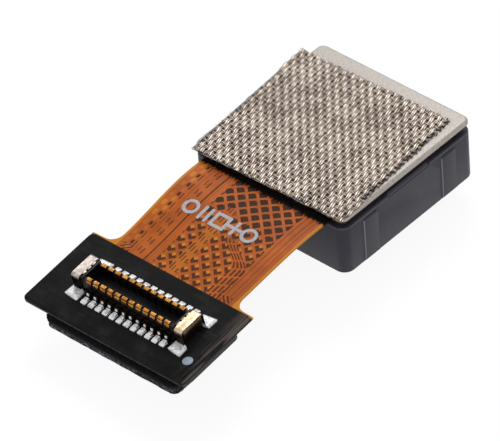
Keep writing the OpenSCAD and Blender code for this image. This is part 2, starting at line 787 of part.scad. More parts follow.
module solder_front() {
    color([0.85, 0.86, 0.86]) on_seat() mirror([0, 1, 0]) solder_row();
}

module solder_back() {
    color([0.85, 0.86, 0.86]) on_seat() solder_row();
}

module corner_solder() {
    pad_w = fitting_l + 2 * corner_margin;
    color([0.85, 0.86, 0.86]) on_seat() for (x = [-1, 1], y = [0, 1])
        mirror([0, y, 0]) translate([x * (end_wall_x + end_wall_t + fitting_l / 2), 0, 0])
            rotate([90, 0, 90]) translate([0, 0, -pad_w / 2]) linear_extrude(pad_w)
                solder_pad(leg_y - corner_margin, tail_end - foot_short, fitting_t);
}

lens_barrel();
lens_1();
lens_2();
lens_3();
lens_4();
light_shields();
lens_retainer();
housing();
filter_bond();
infrared_filter();
holder_bond();
image_sensor();
bond_wires();
chip_capacitors();
sensor_board();
flex_circuit();
back_laminate();
plate_adhesive();
back_plate();
cloth_adhesive();
grounding_cloth();
cover_film();
stiffener();
foam_adhesive();
foam_pad();
plug_body();
contacts_front();
contacts_back();
end_fitting_left();
end_fitting_right();
solder_front();
solder_back();
corner_solder();
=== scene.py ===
"""Camera module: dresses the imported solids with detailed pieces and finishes.

Every shape is drawn in millimetres in the part's own frame: the lens looks down
from the origin, the flexible tail runs out along -Y and +Z is the back.
"""

from __future__ import annotations

import logging
import math
import random
from dataclasses import dataclass, field
from enum import Enum
from typing import Callable, Iterable, Sequence, Union

import bmesh
import bpy
from mathutils import Matrix, Vector

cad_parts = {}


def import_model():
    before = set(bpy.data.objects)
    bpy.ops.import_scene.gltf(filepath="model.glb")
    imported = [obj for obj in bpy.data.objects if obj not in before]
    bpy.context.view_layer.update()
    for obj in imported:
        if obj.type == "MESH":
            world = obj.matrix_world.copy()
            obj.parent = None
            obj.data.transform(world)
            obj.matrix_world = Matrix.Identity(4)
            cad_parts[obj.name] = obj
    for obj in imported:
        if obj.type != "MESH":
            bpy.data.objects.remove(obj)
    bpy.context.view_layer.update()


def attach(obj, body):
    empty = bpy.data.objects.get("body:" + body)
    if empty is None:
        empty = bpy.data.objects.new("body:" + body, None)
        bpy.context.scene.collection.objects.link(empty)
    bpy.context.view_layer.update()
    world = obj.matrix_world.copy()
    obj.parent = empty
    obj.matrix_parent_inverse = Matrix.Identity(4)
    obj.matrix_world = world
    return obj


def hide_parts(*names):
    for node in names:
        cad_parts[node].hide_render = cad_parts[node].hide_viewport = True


LOG = logging.getLogger("camera_module")
MM = 0.001
BODY = "root"
ROWS = (-1, 1)
Colour = tuple[float, float, float]
Point = tuple[float, float]


def tint(red: int, green: int, blue: int) -> Colour:
    """Turns an everyday 0 to 255 colour into the linear one that shaders use."""
    def linear(value: int) -> float:
        """Undoes the display curve of one channel."""
        share = value / 255
        return share / 12.92 if share <= 0.04045 else ((share + 0.055) / 1.055) ** 2.4
    return linear(red), linear(green), linear(blue)


def ease(share: float) -> float:
    """Smooth step from 0 to 1."""
    share = min(1.0, max(0.0, share))
    return share * share * (3 - 2 * share)


def rotation(degrees: float, axis: str = "Z") -> Matrix:
    """A turn about one of the axes."""
    return Matrix.Rotation(math.radians(degrees), 4, axis)


def shifted(x: float = 0.0, y: float = 0.0, z: float = 0.0) -> Matrix:
    """A plain shift."""
    return Matrix.Translation((x, y, z))


def flipped(x: float = 1.0, y: float = 1.0) -> Matrix:
    """A mirror, with -1 for each axis that it turns round."""
    return Matrix.Diagonal((x, y, 1, 1))


def placed(name: str, data: bpy.types.ID) -> bpy.types.Object:
    """Puts data in a new object of the scene."""
    made = bpy.data.objects.new(name, data)
    bpy.context.scene.collection.objects.link(made)
    return made


# ---- shader building ----


def operators(operation: str) -> tuple[Callable[..., Socket], Callable[..., Socket]]:
    """Makes the two methods of an operator between shader values.

    Args:
        operation: the Math node's operation.

    Returns:
        The method of the value on the left, and that of the value on the right.
    """
    def left(self: Socket, other: Value) -> Socket:
        """The operation, with this value first."""
        return self.shader.maths(operation, self, other)

    def right(self: Socket, other: Value) -> Socket:
        """The operation, with this value last."""
        return self.shader.maths(operation, other, self)
    return left, right


class Socket:
    """A shader value that can be used in Python expressions."""

    __add__, __radd__ = operators("ADD")
    __sub__, __rsub__ = operators("SUBTRACT")
    __mul__, __rmul__ = operators("MULTIPLY")
    lower = operators("MINIMUM")[0]
    higher = operators("MAXIMUM")[0]

    def __init__(self, shader: Shader, link: bpy.types.NodeSocket) -> None:
        """Wraps an output socket of a shader's tree."""
        self.shader = shader
        self.link = link

    def __abs__(self) -> Socket:
        """The size of the value."""
        return self.shader.maths("ABSOLUTE", self)

    def cycle(self, period: float) -> Socket:
        """Distance from the middle of a repeating interval, from -period/2 to period/2."""
        return (self.shader.maths("FRACT", self * (1 / period)) - 0.5) * period

    def step(self, low: float, high: float) -> Socket:
        """Rises smoothly from 0 at low to 1 at high."""
        node = self.shader.node("ShaderNodeMapRange", {"interpolation_type": "SMOOTHSTEP"},
                                {"Value": self, "From Min": low, "From Max": high})
        return self.shader.out(node, "Result")

    def band(self, half: float, soft: float) -> Socket:
        """1 where the value is within half of zero, with a soft edge."""
        return 1 - abs(self).step(half - soft, half + soft)


Value = Union[Socket, float, int]
Mixable = Union[Socket, Colour]
Sockets = dict[str, object]


class Shader:
    """Builds the node tree of one material, or of the world."""

    def __init__(self, name: str, world: bool = False) -> None:
        """Starts an empty tree in a new material or world."""
        self.owner = (bpy.data.worlds if world else bpy.data.materials).new(name)
        self.owner.use_nodes = True
        self.tree = self.owner.node_tree
        self.tree.nodes.clear()
        self._place: Socket | None = None

    def node(self, kind: str, settings: dict[str, object] | None = None,
             inputs: dict[str | int, object] | None = None) -> bpy.types.Node:
        """Adds a node. Every node comes from here.

        Args:
            kind: the node's type name.
            settings: properties, set before the sockets.
            inputs: values or links of its sockets, by name or number.

        Returns:
            The new node.
        """
        made = self.tree.nodes.new(kind)
        for key, value in (settings or {}).items():
            setattr(made, key, value)
        for key, value in (inputs or {}).items():
            socket = made.inputs[key]
            if isinstance(value, Socket):
                self.tree.links.new(value.link, socket)
            elif isinstance(value, tuple) and len(value) == 3 and socket.type == "RGBA":
                socket.default_value = (*value, 1.0)
            else:
                socket.default_value = value
        return made

    def out(self, node: bpy.types.Node, name: str | int = 0) -> Socket:
        """Wraps one of a node's outputs."""
        return Socket(self, node.outputs[name])

    def maths(self, operation: str, *values: Value) -> Socket:
        """Adds one Math node on the given values."""
        return self.out(self.node("ShaderNodeMath", {"operation": operation},
                                  dict(enumerate(values))))

    def distance(self, x: Socket, y: Socket) -> Socket:
        """How far a place lies from the middle of a plane."""
        return self.maths("SQRT", x * x + y * y)

    def mix(self, share: Value, first: Mixable, second: Mixable) -> Socket:
        """Mixes two colours, with a share of the second."""
        node = self.node("ShaderNodeMix", {"data_type": "RGBA"}, {0: share, 6: first, 7: second})
        return self.out(node, 2)

    def either(self, share: Value, first: bpy.types.Node,
               second: bpy.types.Node) -> bpy.types.Node:
        """Mixes two surfaces, with a share of the second."""
        return self.node("ShaderNodeMixShader",
                         inputs={0: share, 1: self.out(first), 2: self.out(second)})

    def seen(self) -> Socket:
        """1 for rays from the camera or off a glossy surface."""
        path = self.node("ShaderNodeLightPath")
        return self.out(path, "Is Camera Ray").higher(self.out(path, "Is Glossy Ray"))

    def place(self) -> Socket:
        """Object coordinates in millimetres."""
        if self._place is None:
            source = self.out(self.node("ShaderNodeTexCoord"), "Object")
            self._place = self.out(self.node("ShaderNodeVectorMath", {"operation": "SCALE"},
                                             {0: source, "Scale": 1 / MM}))
        return self._place

    def own_uv(self, layer: str) -> Socket:
        """The piece's own map, drawn in millimetres."""
        return self.out(self.node("ShaderNodeUVMap", {"uv_map": layer}), "UV")

    def parts(self, vector: Socket) -> tuple[Socket, Socket, Socket]:
        """The three numbers of a vector."""
        node = self.node("ShaderNodeSeparateXYZ", inputs={0: vector})
        return self.out(node, 0), self.out(node, 1), self.out(node, 2)

    def along(self, vector: Socket, course: Sequence[float]) -> Socket:
        """How far a place lies along a direction."""
        node = self.node("ShaderNodeVectorMath", {"operation": "DOT_PRODUCT"},
                         {0: vector, 1: tuple(course)})
        return self.out(node, "Value")

    def mapped(self, vector: Socket, scale: Sequence[float], turn: float = 0.0) -> Socket:
        """Scales a pattern and turns it about Z."""
        return self.out(self.node("ShaderNodeMapping", inputs={
            "Vector": vector, "Scale": tuple(scale), "Rotation": (0, 0, turn)}))

    def noise(self, vector: Socket, scale: float, detail: float = 3.0,
              roughness: float = 0.55) -> Socket:
        """Cloudy noise round 0.5, with scale in features to the millimetre."""
        return self.out(self.node("ShaderNodeTexNoise", inputs={
            "Vector": vector, "Scale": scale, "Detail": detail, "Roughness": roughness}))

    def cells(self, vector: Socket, scale: float) -> Socket:
        """Distance to the nearest of a scatter of points."""
        node = self.node("ShaderNodeTexVoronoi", inputs={"Vector": vector, "Scale": scale})
        return self.out(node, "Distance")

    def relief(self, height: Socket) -> Socket:
        """Turns a height in millimetres into a bumped normal."""
        return self.out(self.node("ShaderNodeBump", inputs={
            "Strength": 1.0, "Distance": MM, "Height": height}))

    def close(self, surface: bpy.types.Node, kind: str = "Material") -> bpy.types.ID:
        """Ends the tree with its output, and gives the material or world."""
        self.node(f"ShaderNodeOutput{kind}", inputs={"Surface": self.out(surface)})
        return self.owner


# ---- finishes ----


@dataclass(frozen=True)
class Finish:
    """How a kind of surface looks, in two tones. Each kind says what its sockets hold."""

    name: str
    main: Colour
    second: Colour

    def sockets(self, shader: Shader) -> Sockets:
        """Draws the pattern.

        Args:
            shader: the tree to draw it in.

        Returns:
            Values and links of the surface's sockets, with _ for each space in a name.
        """
        raise NotImplementedError

    def material(self) -> bpy.types.Material:
        """Builds the material."""
        shader = Shader(self.name)
        sockets = {key.replace("_", " "): value for key, value in self.sockets(shader).items()}
        return shader.close(shader.node("ShaderNodeBsdfPrincipled", inputs=sockets))


@dataclass(frozen=True)
class Moulded(Finish):
    """Moulded plastic with fine spark-eroded grain and faint flow clouds.

    Painted highlights make some edges pale and painted shade makes others dark. They lie at given
    places along Y, wherever the surface is further out along X than the face, and a painted
    highlight runs round at a level.
    """

    roughness: float = 0.45
    grain: float = 18.0
    depth: float = 0.003
    streaks: float = 0.0
    painted_highlights: Sequence[float] = ()
    painted_shade_lines: Sequence[float] = ()
    face: float = 0.0
    level: float = 0.0

    def sockets(self, shader: Shader) -> Sockets:
        """Grain, clouds, drawn streaks, and the painted edge light where it is given."""
        place = shader.place()
        clouds = shader.noise(place, 0.55, 2.0)
        grain = shader.noise(place, self.grain, 3.0, 0.65)
        drawn = shader.noise(shader.mapped(place, (9.0, 9.0, 0.5)), 1.0, 2.0)
        share = (clouds * 0.8 + grain * 0.25 + drawn * self.streaks).step(0.3, 0.95)
        base = shader.mix(share, self.main, self.second)
        if self.painted_highlights:
            base = self.painted_edge_light(shader, base)
        return dict(Base_Color=base, Specular_IOR_Level=0.3,
                    Roughness=self.roughness + (grain - 0.5) * 0.16 + (clouds - 0.5) * 0.1,
                    Normal=shader.relief(grain * self.depth
                                         + drawn * (self.depth * self.streaks)))

    def painted_edge_light(self, shader: Shader, base: Socket) -> Socket:
        """Paints highlights and shade along the edges into the base colour."""
        x, y, z = shader.parts(shader.place())
        half_w, soft, strength = 0.028, 0.012, 0.8
        # pale edge lines are painted highlights, dark ones are painted shade
        for spots, edge, reach in ((self.painted_highlights, tint(136, 136, 146), self.face + soft),
                                   (self.painted_shade_lines, tint(8, 7, 11), self.face - 0.002)):
            proud = abs(x).step(reach - soft, reach) * strength
            for spot in spots:
                base = shader.mix((y - spot).band(half_w, soft) * proud, base, edge)
        # a painted highlight runs round the rim at the level
        return shader.mix((z - self.level).band(0.02, soft) * 0.3, base, tint(130, 130, 140))


@dataclass(frozen=True)
class Metal(Finish):
    """Plated or rolled metal with drawn lines, specks and a worn tone."""

    roughness: float = 0.3
    metallic: float = 1.0
    lines: Sequence[float] = (1.0, 14.0, 1.0)
    depth: float = 0.0012
    mottle: float = 2.4

    def worn(self, shader: Shader) -> tuple[Socket, Socket, Socket, Socket]:
        """Drawn lines, clouds and specks, and the share of the main tone."""
        place = shader.place()
        lines = shader.noise(shader.mapped(place, self.lines), 2.0, 3.0, 0.6)
        clouds = shader.noise(place, self.mottle, 4.0)
        specks = shader.noise(place, 30.0, 2.0)
        return lines, clouds, specks, (clouds * 0.75 + lines * 0.25).step(0.35, 0.68)

    def sockets(self, shader: Shader) -> Sockets:
        """Lines, specks and worn patches."""
        lines, _, specks, share = self.worn(shader)
        return dict(Base_Color=shader.mix(share, self.second, self.main),
                    Metallic=self.metallic,
                    Roughness=self.roughness + (lines - 0.5) * 0.18 + (specks - 0.5) * 0.12,
                    Normal=shader.relief(lines * self.depth + specks * (self.depth * 0.7)))


@dataclass(frozen=True)
class Plated(Metal):
    """Bright plating on raised parts, darker lower down as painted shade.

    The height is measured along a given upward direction, from a given level, and a groove
    of painted shade runs at one height.
    """

    lines: Sequence[float] = (12.0, 1.0, 1.0)
    depth: float = 0.0015
    mottle: float = 6.0
    dark: Colour = (0.0, 0.0, 0.0)
    up: Sequence[float] = (0.0, 0.0, 1.0)
    level: float = 0.0
    low: float = 0.5
    high: float = 0.8
    groove: float = -1.0

    def sockets(self, shader: Shader) -> Sockets:
        """Plating that darkens downwards and in the groove, as painted shade."""
        lines, clouds, specks, share = self.worn(shader)
        height = shader.along(shader.place(), self.up) - self.level
        # painted shade: darker lower down and in the groove
        unshaded = (height + (clouds - 0.5) * 0.1).step(self.low, self.high) \
            * (1 - (height - self.groove).band(0.026, 0.012))
        tone = shader.mix(share, self.second, self.main)
        return dict(Base_Color=shader.mix(unshaded, self.dark, tone), Metallic=1.0,
                    Roughness=self.roughness + (1 - unshaded) * 0.18 + (specks - 0.5) * 0.12,
                    Normal=shader.relief(lines * self.depth + specks * 0.001))


@dataclass(frozen=True)
class Solder(Finish):
    """Reflowed solder: bright, with soft crystal facets and dull flux spots."""

    facets: float = 7.0

    def sockets(self, shader: Shader) -> Sockets:
        """Facets and frost."""
        place = shader.place()
        ripple = shader.noise(place, self.facets, 3.0, 0.6)
        frost = shader.noise(place, self.facets * 4, 2.0)
        share = ripple.step(0.36, 0.5)
        return dict(Base_Color=shader.mix(share, self.second, self.main), Metallic=0.2,
                    Roughness=0.34 - share * 0.06 + (frost - 0.5) * 0.14,
                    Normal=shader.relief(ripple * 0.02 + frost * 0.003))


@dataclass(frozen=True)
class Film(Finish):
    """Thin matt film with wipes and scattered dust."""

    roughness: float = 0.5

    def sockets(self, shader: Shader) -> Sockets:
        """Clouds, wipes and dust."""
        place = shader.place()
        clouds = shader.noise(place, 0.9, 4.0, 0.6)
        wipes = shader.noise(shader.mapped(place, (0.6, 7.0, 1.0), 0.5), 1.0, 3.0)
        grain = shader.noise(place, 26.0, 2.0)
        share = (clouds * 0.7 + wipes * 0.3 + (grain - 0.5) * 0.25).step(0.4, 0.68)
        return dict(Base_Color=shader.mix(share, self.main, self.second),
                    Roughness=self.roughness + (clouds - 0.5) * 0.2 + (grain - 0.5) * 0.1,
                    Normal=shader.relief(clouds * 0.012 + grain * 0.0016))


@dataclass(frozen=True)
class Cover(Finish):
    """Black cover film: matt and clouded, with press marks and a drawn-down edge in painted sheen.

    Places on it are measured along two directions from its seat's middle. A press mark has
    a place and a radius, and slits beside the contacts let the copper glint.
    """

    drawn: Colour
    opening: Colour
    across: Sequence[float]
    along: Sequence[float]
    middle: Point
    edge: float
    marks: Sequence[tuple[float, float, float]]
    pitch: float = 0.4
    slit: float = 0.175
    row: float = 2.45

    def sockets(self, shader: Shader) -> Sockets:
        """Clouds, wipes, press marks, slits, and fibre streaks of painted sheen along the drawn
        edge.
        """
        place = shader.place()
        x = shader.along(place, self.across) - self.middle[0]
        y = shader.along(place, self.along) - self.middle[1]
        clouds = shader.noise(place, 0.8, 5.0, 0.62)
        grain = shader.noise(place, 24.0, 2.0)
        wipes = shader.noise(shader.mapped(place, (0.7, 6.0, 1.0), 0.5), 1.0, 3.0)
        fibres = shader.noise(shader.mapped(place, (3.4, 0.12, 1.0), 0.03), 2.0, 3.0, 0.6)
        share = (clouds * 0.75 + wipes * 0.3 + (grain - 0.5) * 0.25 - 0.02).step(0.42, 0.72)
        height = clouds * 0.02 + grain * 0.0016
        for mark_x, mark_y, radius in self.marks:
            reach = shader.distance(x - mark_x, y - mark_y) - radius
            height = height + reach.band(radius * 0.25, radius * 0.2) * 0.004
            share = share + reach.band(radius * 0.2, radius * 0.2) * 0.2
        # painted sheen: paler fibre streaks near the right edge
        rim = (x + (clouds - 0.5) * 0.3).step(self.edge - 0.8, self.edge - 0.1)
        base = shader.mix(share, self.main, self.second)
        base = shader.mix(rim * fibres.step(0.42, 0.6), base, self.drawn)
        slits = (x + 0.2 - self.slit).cycle(self.pitch).band(0.03, 0.01) \
            * x.band(self.row, 0.02) * (abs(y) - 0.92).band(0.24, 0.03)
        base = shader.mix(slits * (0.5 + grain * 0.5), base, self.opening)
        return dict(Base_Color=base, Specular_IOR_Level=0.08,
                    Roughness=0.62 + (clouds - 0.5) * 0.2 + (grain - 0.5) * 0.1,
                    Normal=shader.relief(height + rim * fibres * 0.02))


@dataclass(frozen=True)
class Foam(Finish):
    """Cut cellular foam: open pits, fluffy skin and a purple-grey bloom.

    The bloom fades above a level, measured along a given upward direction; that fade is painted
    shade under the layers above.
    """

    up: Sequence[float]
    level: float

    def sockets(self, shader: Shader) -> Sockets:
        """Pits, skin and bloom, with painted shade along the top."""
        place = shader.place()
        pits = shader.cells(place, 7.0)
        fine = shader.noise(place, 9.0, 4.0, 0.7)
        patches = shader.noise(place, 2.2, 3.0)
        rise = shader.along(place, self.up) - self.level
        # painted shade: no bloom near the top, under the stiffener's overhang
        below_painted_shade = 1 - (rise + (fine - 0.5) * 0.12).step(-0.3, -0.1)
        share = (pits * 0.6 + fine * 0.9 + patches * 0.7 - 0.75).step(0.2, 0.7) * below_painted_shade
        return dict(Base_Color=shader.mix(share, self.main, self.second),
                    Specular_IOR_Level=0.2, Roughness=0.85,
                    Normal=shader.relief(pits * 0.05 + fine * 0.03))


@dataclass(frozen=True)
class Laminate(Finish):
    """Edge of a pressed board: thin glass and resin layers with copper between."""

    copper: Colour
    layer: float
    up: Sequence[float] = (0.0, 0.0, 1.0)

    def sockets(self, shader: Shader) -> Sockets:
        """Layers and fibres."""
        place = shader.place()
        fibres = shader.noise(shader.mapped(place, (3.0, 3.0, 22.0)), 1.0, 4.0, 0.65)
        grain = shader.noise(place, 20.0, 2.0)
        rise = shader.along(place, self.up) + (fibres - 0.5) * 0.006
        layers = rise.cycle(self.layer).band(self.layer * 0.12, 0.002)
        base = shader.mix(fibres.step(0.35, 0.7), self.main, self.second)
        return dict(Base_Color=shader.mix(layers * 0.7, base, self.copper),
                    Roughness=0.55 + (grain - 0.5) * 0.2,
                    Normal=shader.relief(layers * 0.003 + fibres * 0.004))


@dataclass(frozen=True)
class Glass(Finish):
    """Coated optical glass with a faint violet and green bloom."""

    def sockets(self, shader: Shader) -> Sockets:
        """Bloom towards the rim, and faint smears."""
        place = shader.place()
        x, y, _ = shader.parts(place)
        smear = shader.noise(place, 1.5, 3.0)
        share = (shader.distance(x, y) + smear * 0.4).step(0.2, 1.6)
        return dict(Base_Color=shader.mix(share, self.main, self.second),
                    Roughness=0.03 + smear.step(0.5, 0.8) * 0.05,
                    Transmission_Weight=0.75, IOR=1.55, Coat_Weight=0.6, Coat_Roughness=0.04)


@dataclass(frozen=True)
class Chip(Finish):
    """Polished die or fired ceramic with a regular array and grain."""

    roughness: float = 0.3
    pitch: float = 0.25

    def sockets(self, shader: Shader) -> Sockets:
        """Array and grain."""
        place = shader.place()
        x, y, _ = shader.parts(place)
        array = x.cycle(self.pitch).band(self.pitch * 0.4, 0.01) \
            * y.cycle(self.pitch).band(self.pitch * 0.4, 0.01)
        grain = shader.noise(place, 12.0, 3.0)
        return dict(Base_Color=shader.mix(array * 0.5 + grain * 0.3, self.main, self.second),
                    Roughness=self.roughness + (grain - 0.5) * 0.1,
                    Normal=shader.relief(grain * 0.002 + array * 0.002))


@dataclass(frozen=True)
class Yarn(Finish):
    """Metallised yarn with twisted filaments: painted highlight on the crowns, painted shade in the
    valleys.
    """

    valley_shade: Colour
    low: float
    high: float
    layer: str = "yarn"

    def sockets(self, shader: Shader) -> Sockets:
        """Tone by height, which paints highlight and shade, with strands and the filaments' twist.
        """
        place = shader.place()
        _, _, z = shader.parts(place)
        chart = shader.own_uv(self.layer)
        along, across, _ = shader.parts(chart)
        height = (z - self.low) * (1 / (self.high - self.low))
        strands = shader.noise(shader.mapped(chart, (1.6, 9.0, 1.0)), 2.0, 3.0, 0.6)
        threads = (across * 5.0 + along * 0.1 + strands * 0.6).cycle(1.0)
        ply = 1 - abs(threads) * 2
        patches = shader.noise(place, 1.3, 3.0)
        # tone by height is painted light: bright crowns, shaded valleys; the noise adds the yarn's
        # own tone
        tone = height + (strands - 0.5) * 0.7 + (patches - 0.5) * 0.5 + (ply - 0.62) * 0.6
        deep = shader.mix(tone.step(0.56, 0.76), self.valley_shade, self.second)
        return dict(Base_Color=shader.mix(tone.step(0.78, 1.05), deep, self.main),
                    Metallic=0.35, Roughness=0.42 + (strands - 0.5) * 0.25,
                    Normal=shader.relief(ply * 0.012 + strands * 0.01))


@dataclass(frozen=True)
class Ink(Finish):
    """Screened ink with a slightly ragged, chalky surface."""

    def sockets(self, shader: Shader) -> Sockets:
        """Thick and thin places."""
        cover = shader.noise(shader.place(), 12.0, 4.0, 0.7)
        return dict(Base_Color=shader.mix(cover.step(0.3, 0.6), self.second, self.main),
                    Roughness=0.6 + (cover - 0.5) * 0.2, Normal=shader.relief(cover * 0.006))


@dataclass(frozen=True)
class ClearFilm(Finish):
    """Clear glossy adhesive film, creased and slightly yellow."""

    def sockets(self, shader: Shader) -> Sockets:
        """Creases."""
        folds = shader.noise(shader.mapped(shader.place(), (1.0, 5.0, 3.0), 0.7), 1.6, 4.0, 0.6)
        return dict(Base_Color=shader.mix(folds.step(0.45, 0.6), self.main, self.second),
                    Roughness=0.12 + folds * 0.2, Alpha=0.45 + folds.step(0.4, 0.7) * 0.5,
                    Normal=shader.relief(folds * 0.03))


@dataclass(frozen=True)
class Circuit(Finish):
    """Amber film over etched copper: traces, slots and a crossed ground mesh, with painted shade
    and shadow.

    The pattern is drawn on the tail's own map, in millimetres: u runs across
    from the middle of the tail and v from the start of the bend to the head.
    A column of slots has its middle, a slot's half width and half length, the place of the
    first slot and its strength. A line has its middle, half width, softness and strength.
    """

    amber: Colour
    gold: Colour
    slot: Colour
    olive: Colour
    under: Colour
    head: float
    mesh_u: float = 0.641
    mesh_v: float = 0.622
    pitch: float = 0.61
    mesh_left: float = -1.3
    mesh_right: float = 2.42
    layer: str = "tail"
    slots: Sequence[Sequence[float]] = (
        (-2.78, 0.07, 0.1, 0.02, 1.0), (-2.6, 0.028, 0.19, 0.06, 0.9),
        (-2.235, 0.025, 0.15, 0.14, 0.85), (-2.03, 0.034, 0.18, 0.2, 0.85),
        (-2.12, 0.02, 0.08, 0.2, 0.51), (2.4, 0.035, 0.17, 0.2, 1.0),
        (-1.21, 0.036, 0.13, 0.1, 1.0))
    twin_slots: Sequence[Sequence[float]] = (
        (-0.42, 0.03, 0.2, 0.1, 1.0), (-0.27, 0.02, 0.16, 0.2, 1.0),
        (-0.06, 0.032, 0.12, 0.26, 1.0))
    bright_slots: Sequence[Sequence[float]] = (
        (-3.05, 0.1, 0.15, 0.06, 1.0), (-2.8, 0.08, 0.12, 0.32, 1.0))
    lines: Sequence[Sequence[float]] = (
        (-1.67, 0.034, 0.012, 1.0), (-2.42, 0.012, 0.01, 0.5), (-1.52, 0.012, 0.01, 0.35),
        (2.6, 0.02, 0.01, 0.6), (2.86, 0.018, 0.01, 0.6), (3.06, 0.014, 0.01, 0.5))

    def columns(self, u: Socket, v: Socket, rows: Sequence[Sequence[float]]) -> Socket:
        """1 inside the slots of a set of columns, at places u across and v along."""
        return sum((u - middle).band(half_w, 0.012) * strength
                   * (v - first).cycle(self.pitch).band(half_l, 0.02)
                   for middle, half_w, half_l, first, strength in rows)

    def sockets(self, shader: Shader) -> Sockets:
        """The mesh, the slots, the traces and the tones between."""
        uv = shader.own_uv(self.layer)
        u, v, _ = shader.parts(uv)
        clouds = shader.noise(uv, 0.8, 3.0)
        grain = shader.noise(uv, 16.0, 3.0, 0.6)
        drawn = shader.noise(shader.mapped(uv, (6.0, 0.5, 1.0)), 1.4, 3.0)
        # Crossed mesh: open diamonds between copper ribbons, with painted shade along their lower
        # edges
        u_cells, v_cells = u * (1 / self.mesh_u), v * (1 / self.mesh_v)
        first = (u_cells + v_cells - 0.195 + (clouds - 0.5) * 0.05).cycle(1.0)
        second = (u_cells - v_cells - 0.365).cycle(1.0)
        inside = (u - self.mesh_left).step(0, 0.05) * (1 - (u - self.mesh_right).step(-0.05, 0))
        swerve = u - (0.8 + (v - 2.25).step(0.0, 1.25) * 1.35)
        bundle = swerve.band(0.34, 0.03) * v.step(2.15, 2.5)
        twin = (u + 0.24).band(0.27, 0.02) * v.step(0.9, 1.1)
        mesh = inside * (1 - bundle) * (1 - twin)
        diamond = first.band(0.35, 0.03) * second.band(0.35, 0.03) * mesh
        late = v.step(0.9, 2.4)
        reach = -0.01 - (1 - late) * 0.25
        lower = ((first - reach).step(0.0, 0.07)
                 .higher(1 - (second + reach).step(-0.07, 0.0))) * diamond
        # Traces and slots
        bundle_lines = swerve.cycle(0.2).band(0.046, 0.014) * bundle \
            * (v + u * 0.5).cycle(0.5).band(0.2, 0.02)
        twin_lines = self.columns(u, v, self.twin_slots) * twin
        patches = self.columns(u, v, self.bright_slots) * clouds.step(0.3, 0.7)
        long_lines = sum((u - middle).band(half, soft) * strength
                         for middle, half, soft, strength in self.lines)
        fan = u.band(3.05, 0.02) * (1 - u.band(2.55, 0.02)) * v.step(4.72, 4.78) \
            * (abs(u) * 0.8 - v * 0.9).cycle(0.2).band(0.04, 0.012)
        # dark holds the real slots and lines, and the painted shade of the diamonds' lower edges
        dark = (self.columns(u, v, self.slots) + long_lines + twin_lines + bundle_lines
                + fan + lower).lower(1.0)
        edge = 1 - (u + 3.33).step(0.06, 0.13) + (u - 3.24).step(0.0, 0.06)
        glow = (patches * 0.8 + (diamond - lower) * (0.25 + late * 0.6) + edge * 0.9
                + (twin - twin_lines) * 0.3 * late).lower(1.0)
        # Tones, from the copper up to the black bands of painted shadow under the cloth and the
        # head
        # ragged edge of the painted shadow under the cloth
        ragged = (u + drawn * 0.3).cycle(0.19).band(0.03, 0.05) * 0.13 + drawn * 0.2
        base = shader.mix(clouds.step(0.35, 0.68), self.main, self.second)
        for share, tone in (((drawn - 0.4) * 0.5, self.amber),
                            (diamond * (1 - late) * 0.6, self.olive), (glow, self.gold),
                            (dark * (0.84 + (grain - 0.5) * 0.5), self.slot),
                            (v.step(self.head + 0.64, self.head + 0.67), self.under),
                            (1 - (v - ragged).step(-0.62, -0.54), self.under)):
            base = shader.mix(share, base, tone)
        ridge = mesh * (1 - diamond) + (1 - mesh) * (1 - dark)
        return dict(Base_Color=base, Specular_IOR_Level=0.14,
                    Roughness=0.4 + (grain - 0.5) * 0.14 + dark * 0.15,
                    Normal=shader.relief(ridge * 0.012 + clouds * 0.03 + grain * 0.0016))


class Slot(Enum):
    """The record's material slot names."""

    BARREL = "barrel_black"
    GLASS = "lens_glass"
    HOUSING = "housing_grey"
    GOLD = "gold"
    POLYIMIDE = "polyimide"
    PLATE = "plate_steel"
    CLOTH = "conductive_cloth"
    COVER = "cover_black"
    STIFFENER = "stiffener_black"
    FOAM = "foam_black"
    PLUG = "plug_black"
    FITTING = "fitting_metal"
    SOLDER = "solder_silver"


# ---- mesh building ----


